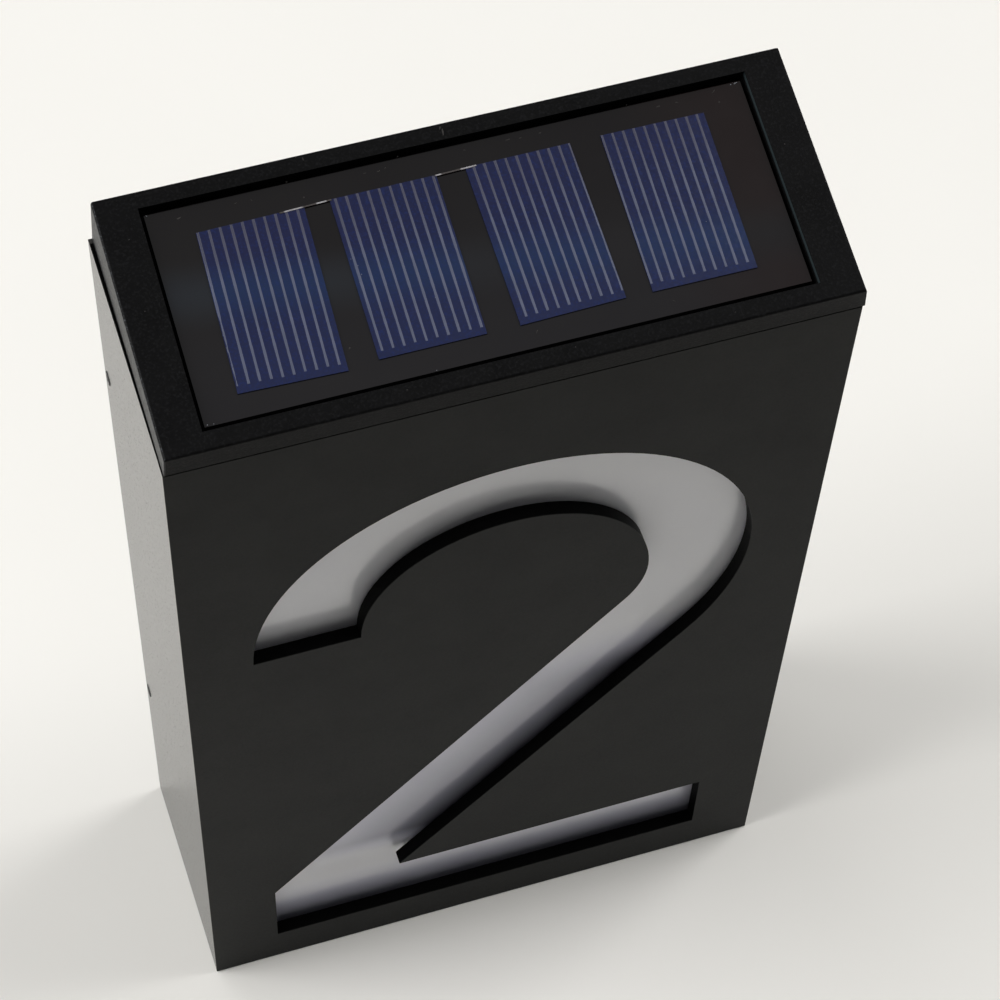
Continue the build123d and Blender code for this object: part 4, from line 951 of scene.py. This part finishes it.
def add_chip_pins(material):
    """Feet and shoulders of the chip's pins, on both its sides."""
    bm = bmesh.new()
    for index in range(CHIP_PINS):
        x = CHIP_AT[0] + (index - (CHIP_PINS - 1) / 2) * CHIP_PIN_PITCH
        for side in (-1, 1):
            for out, size, chamfer in PIN_PARTS:
                y = CHIP_AT[1] + side * (CHIP_BREADTH / 2 + out)
                add_block(bm, BOARD_MIDDLE + Vector((x, y, 0)), size, chamfer)
    finish_piece("chip_pins", bm, material, "lid")


def add_solder_dots(material):
    """Domes where the leads and the LEDs meet the boards."""
    bm = bmesh.new()
    for x in PANEL_LEADS_X:
        add_turned(bm, SOLDER_PROFILE, Vector((x, BOARD_MIDDLE.y, BOARD_MIDDLE.z)))
    for x in LED_LEADS_X:
        add_turned(bm, SOLDER_PROFILE, Vector((x, LED_LEADS_Y, LED_BOARD_UNDER)))
    for x in LED_PLACES:
        for shift in LED_DOT_SHIFTS:
            dot = Vector((x + shift, LED_BOARD_Y + LED_DOT_BACK, LED_BOARD_UNDER))
            add_turned(bm, LED_DOT_PROFILE, dot)
    finish_piece("solder_dots", bm, material, "lid", smooth=True)


def add_battery_ring(material):
    """Insulating washer about the battery's nub."""
    bm = bmesh.new()
    rings = []
    for radius, along in WASHER_PROFILE:
        points = [(BATTERY_END + Vector((along, u, v))) * MM for u, v in circle(radius)]
        rings.append([bm.verts.new(point) for point in points])
    skin(bm, rings, closed=True)
    finish_piece("battery_washer", bm, material, "battery")


def add_capacitor_top(material):
    """Bare metal end of the can, scored with a cross."""
    bm = bmesh.new()
    add_turned(bm, CAPACITOR_END, CAPACITOR_AT)
    for size in CAPACITOR_SCORES:
        add_block(bm, CAPACITOR_AT - Vector((0, 0, SCORE_DROP)), size, SCORE_CHAMFER)
    finish_piece("capacitor_end", bm, material, "lid")


def add_lid_fittings():
    """The small pieces on the boards and the battery."""
    tinned = plain("tinned", (0.62, 0.61, 0.59), 0.3, metallic=1.0)
    add_winding(plain("copper", (0.75, 0.32, 0.14), 0.3, metallic=1.0))
    add_resistors(plain("ceramic", (0.02, 0.02, 0.022), 0.4), tinned)
    add_chip_pins(tinned)
    add_solder_dots(tinned)
    add_battery_ring(plain("washer", (0.55, 0.53, 0.48), 0.7))
    add_capacitor_top(plain("can_end", (0.65, 0.65, 0.66), 0.3, metallic=1.0))


# ---- camera, light, floor ----
def add_camera():
    """The photograph's viewing angle."""
    data = bpy.data.cameras.new("camera")
    data.lens = CAMERA_LENS
    data.sensor_width = CAMERA_SENSOR
    data.shift_x, data.shift_y = CAMERA_SHIFT
    data.clip_start = CAMERA_NEAREST
    camera = bpy.data.objects.new("camera", data)
    bpy.context.scene.collection.objects.link(camera)
    axes = Matrix((CAMERA_RIGHT, -CAMERA_DOWN, -CAMERA_FORWARD)).transposed().to_4x4()
    camera.matrix_world = Matrix.Translation(CAMERA_AT) @ axes
    bpy.context.scene.camera = camera


def add_lamp(name, place, breadth, height, power):
    """Soft box that faces the sign."""
    data = bpy.data.lights.new(name, "AREA")
    data.shape = "RECTANGLE"
    data.size, data.size_y = breadth, height
    data.energy = power
    lamp = bpy.data.objects.new(name, data)
    bpy.context.scene.collection.objects.link(lamp)
    turn = (LAMP_AIM - Vector(place)).to_track_quat("-Z", "Y").to_matrix().to_4x4()
    lamp.matrix_world = Matrix.Translation(place) @ turn


def set_world():
    """A room that is dim at eye level and brighter overhead; the camera itself sees a pale backdrop."""
    world = bpy.data.worlds.new("room")
    bpy.context.scene.world = world
    world.use_nodes = True
    tree = world.node_tree
    split = tree.nodes.new("ShaderNodeSeparateXYZ")
    tree.links.new(tree.nodes.new("ShaderNodeTexCoord").outputs["Generated"], split.inputs["Vector"])
    level = remap(tree, split.outputs["Z"], WORLD_LEVEL, WORLD_UP, 0.5, 1.0)
    seen = tree.nodes.new("ShaderNodeLightPath").outputs["Is Camera Ray"]
    tree.links.new(mix(tree, seen, level, BACKDROP), tree.nodes["Background"].inputs["Color"])


def add_floor():
    """Plain pale floor just under the sign."""
    bm = bmesh.new()
    bmesh.ops.create_grid(bm, x_segments=FLOOR_SQUARES, y_segments=FLOOR_SQUARES, size=FLOOR_HALF)
    mesh = bpy.data.meshes.new("floor")
    bm.to_mesh(mesh)
    bm.free()
    mesh.materials.append(surface("floor_pale", FLOOR_PALE, patch=300.0, rough=(0.5, 0.6), grain=3.0,
                                  relief=0.01, specular=0.3))
    floor = bpy.data.objects.new("floor", mesh)
    floor.location.z = -FLOOR_DROP
    bpy.context.scene.collection.objects.link(floor)


bpy.context.scene.view_settings.view_transform = "Standard"
add_camera()
set_world()
for lamp in LAMPS:
    add_lamp(*lamp)
add_floor()
shell_gloss = shell_black()
dress_cad_nodes(shell_gloss)
add_edge_skins(shell_gloss)
add_fingers(cell_silver())
add_marks()
add_lid_fittings()
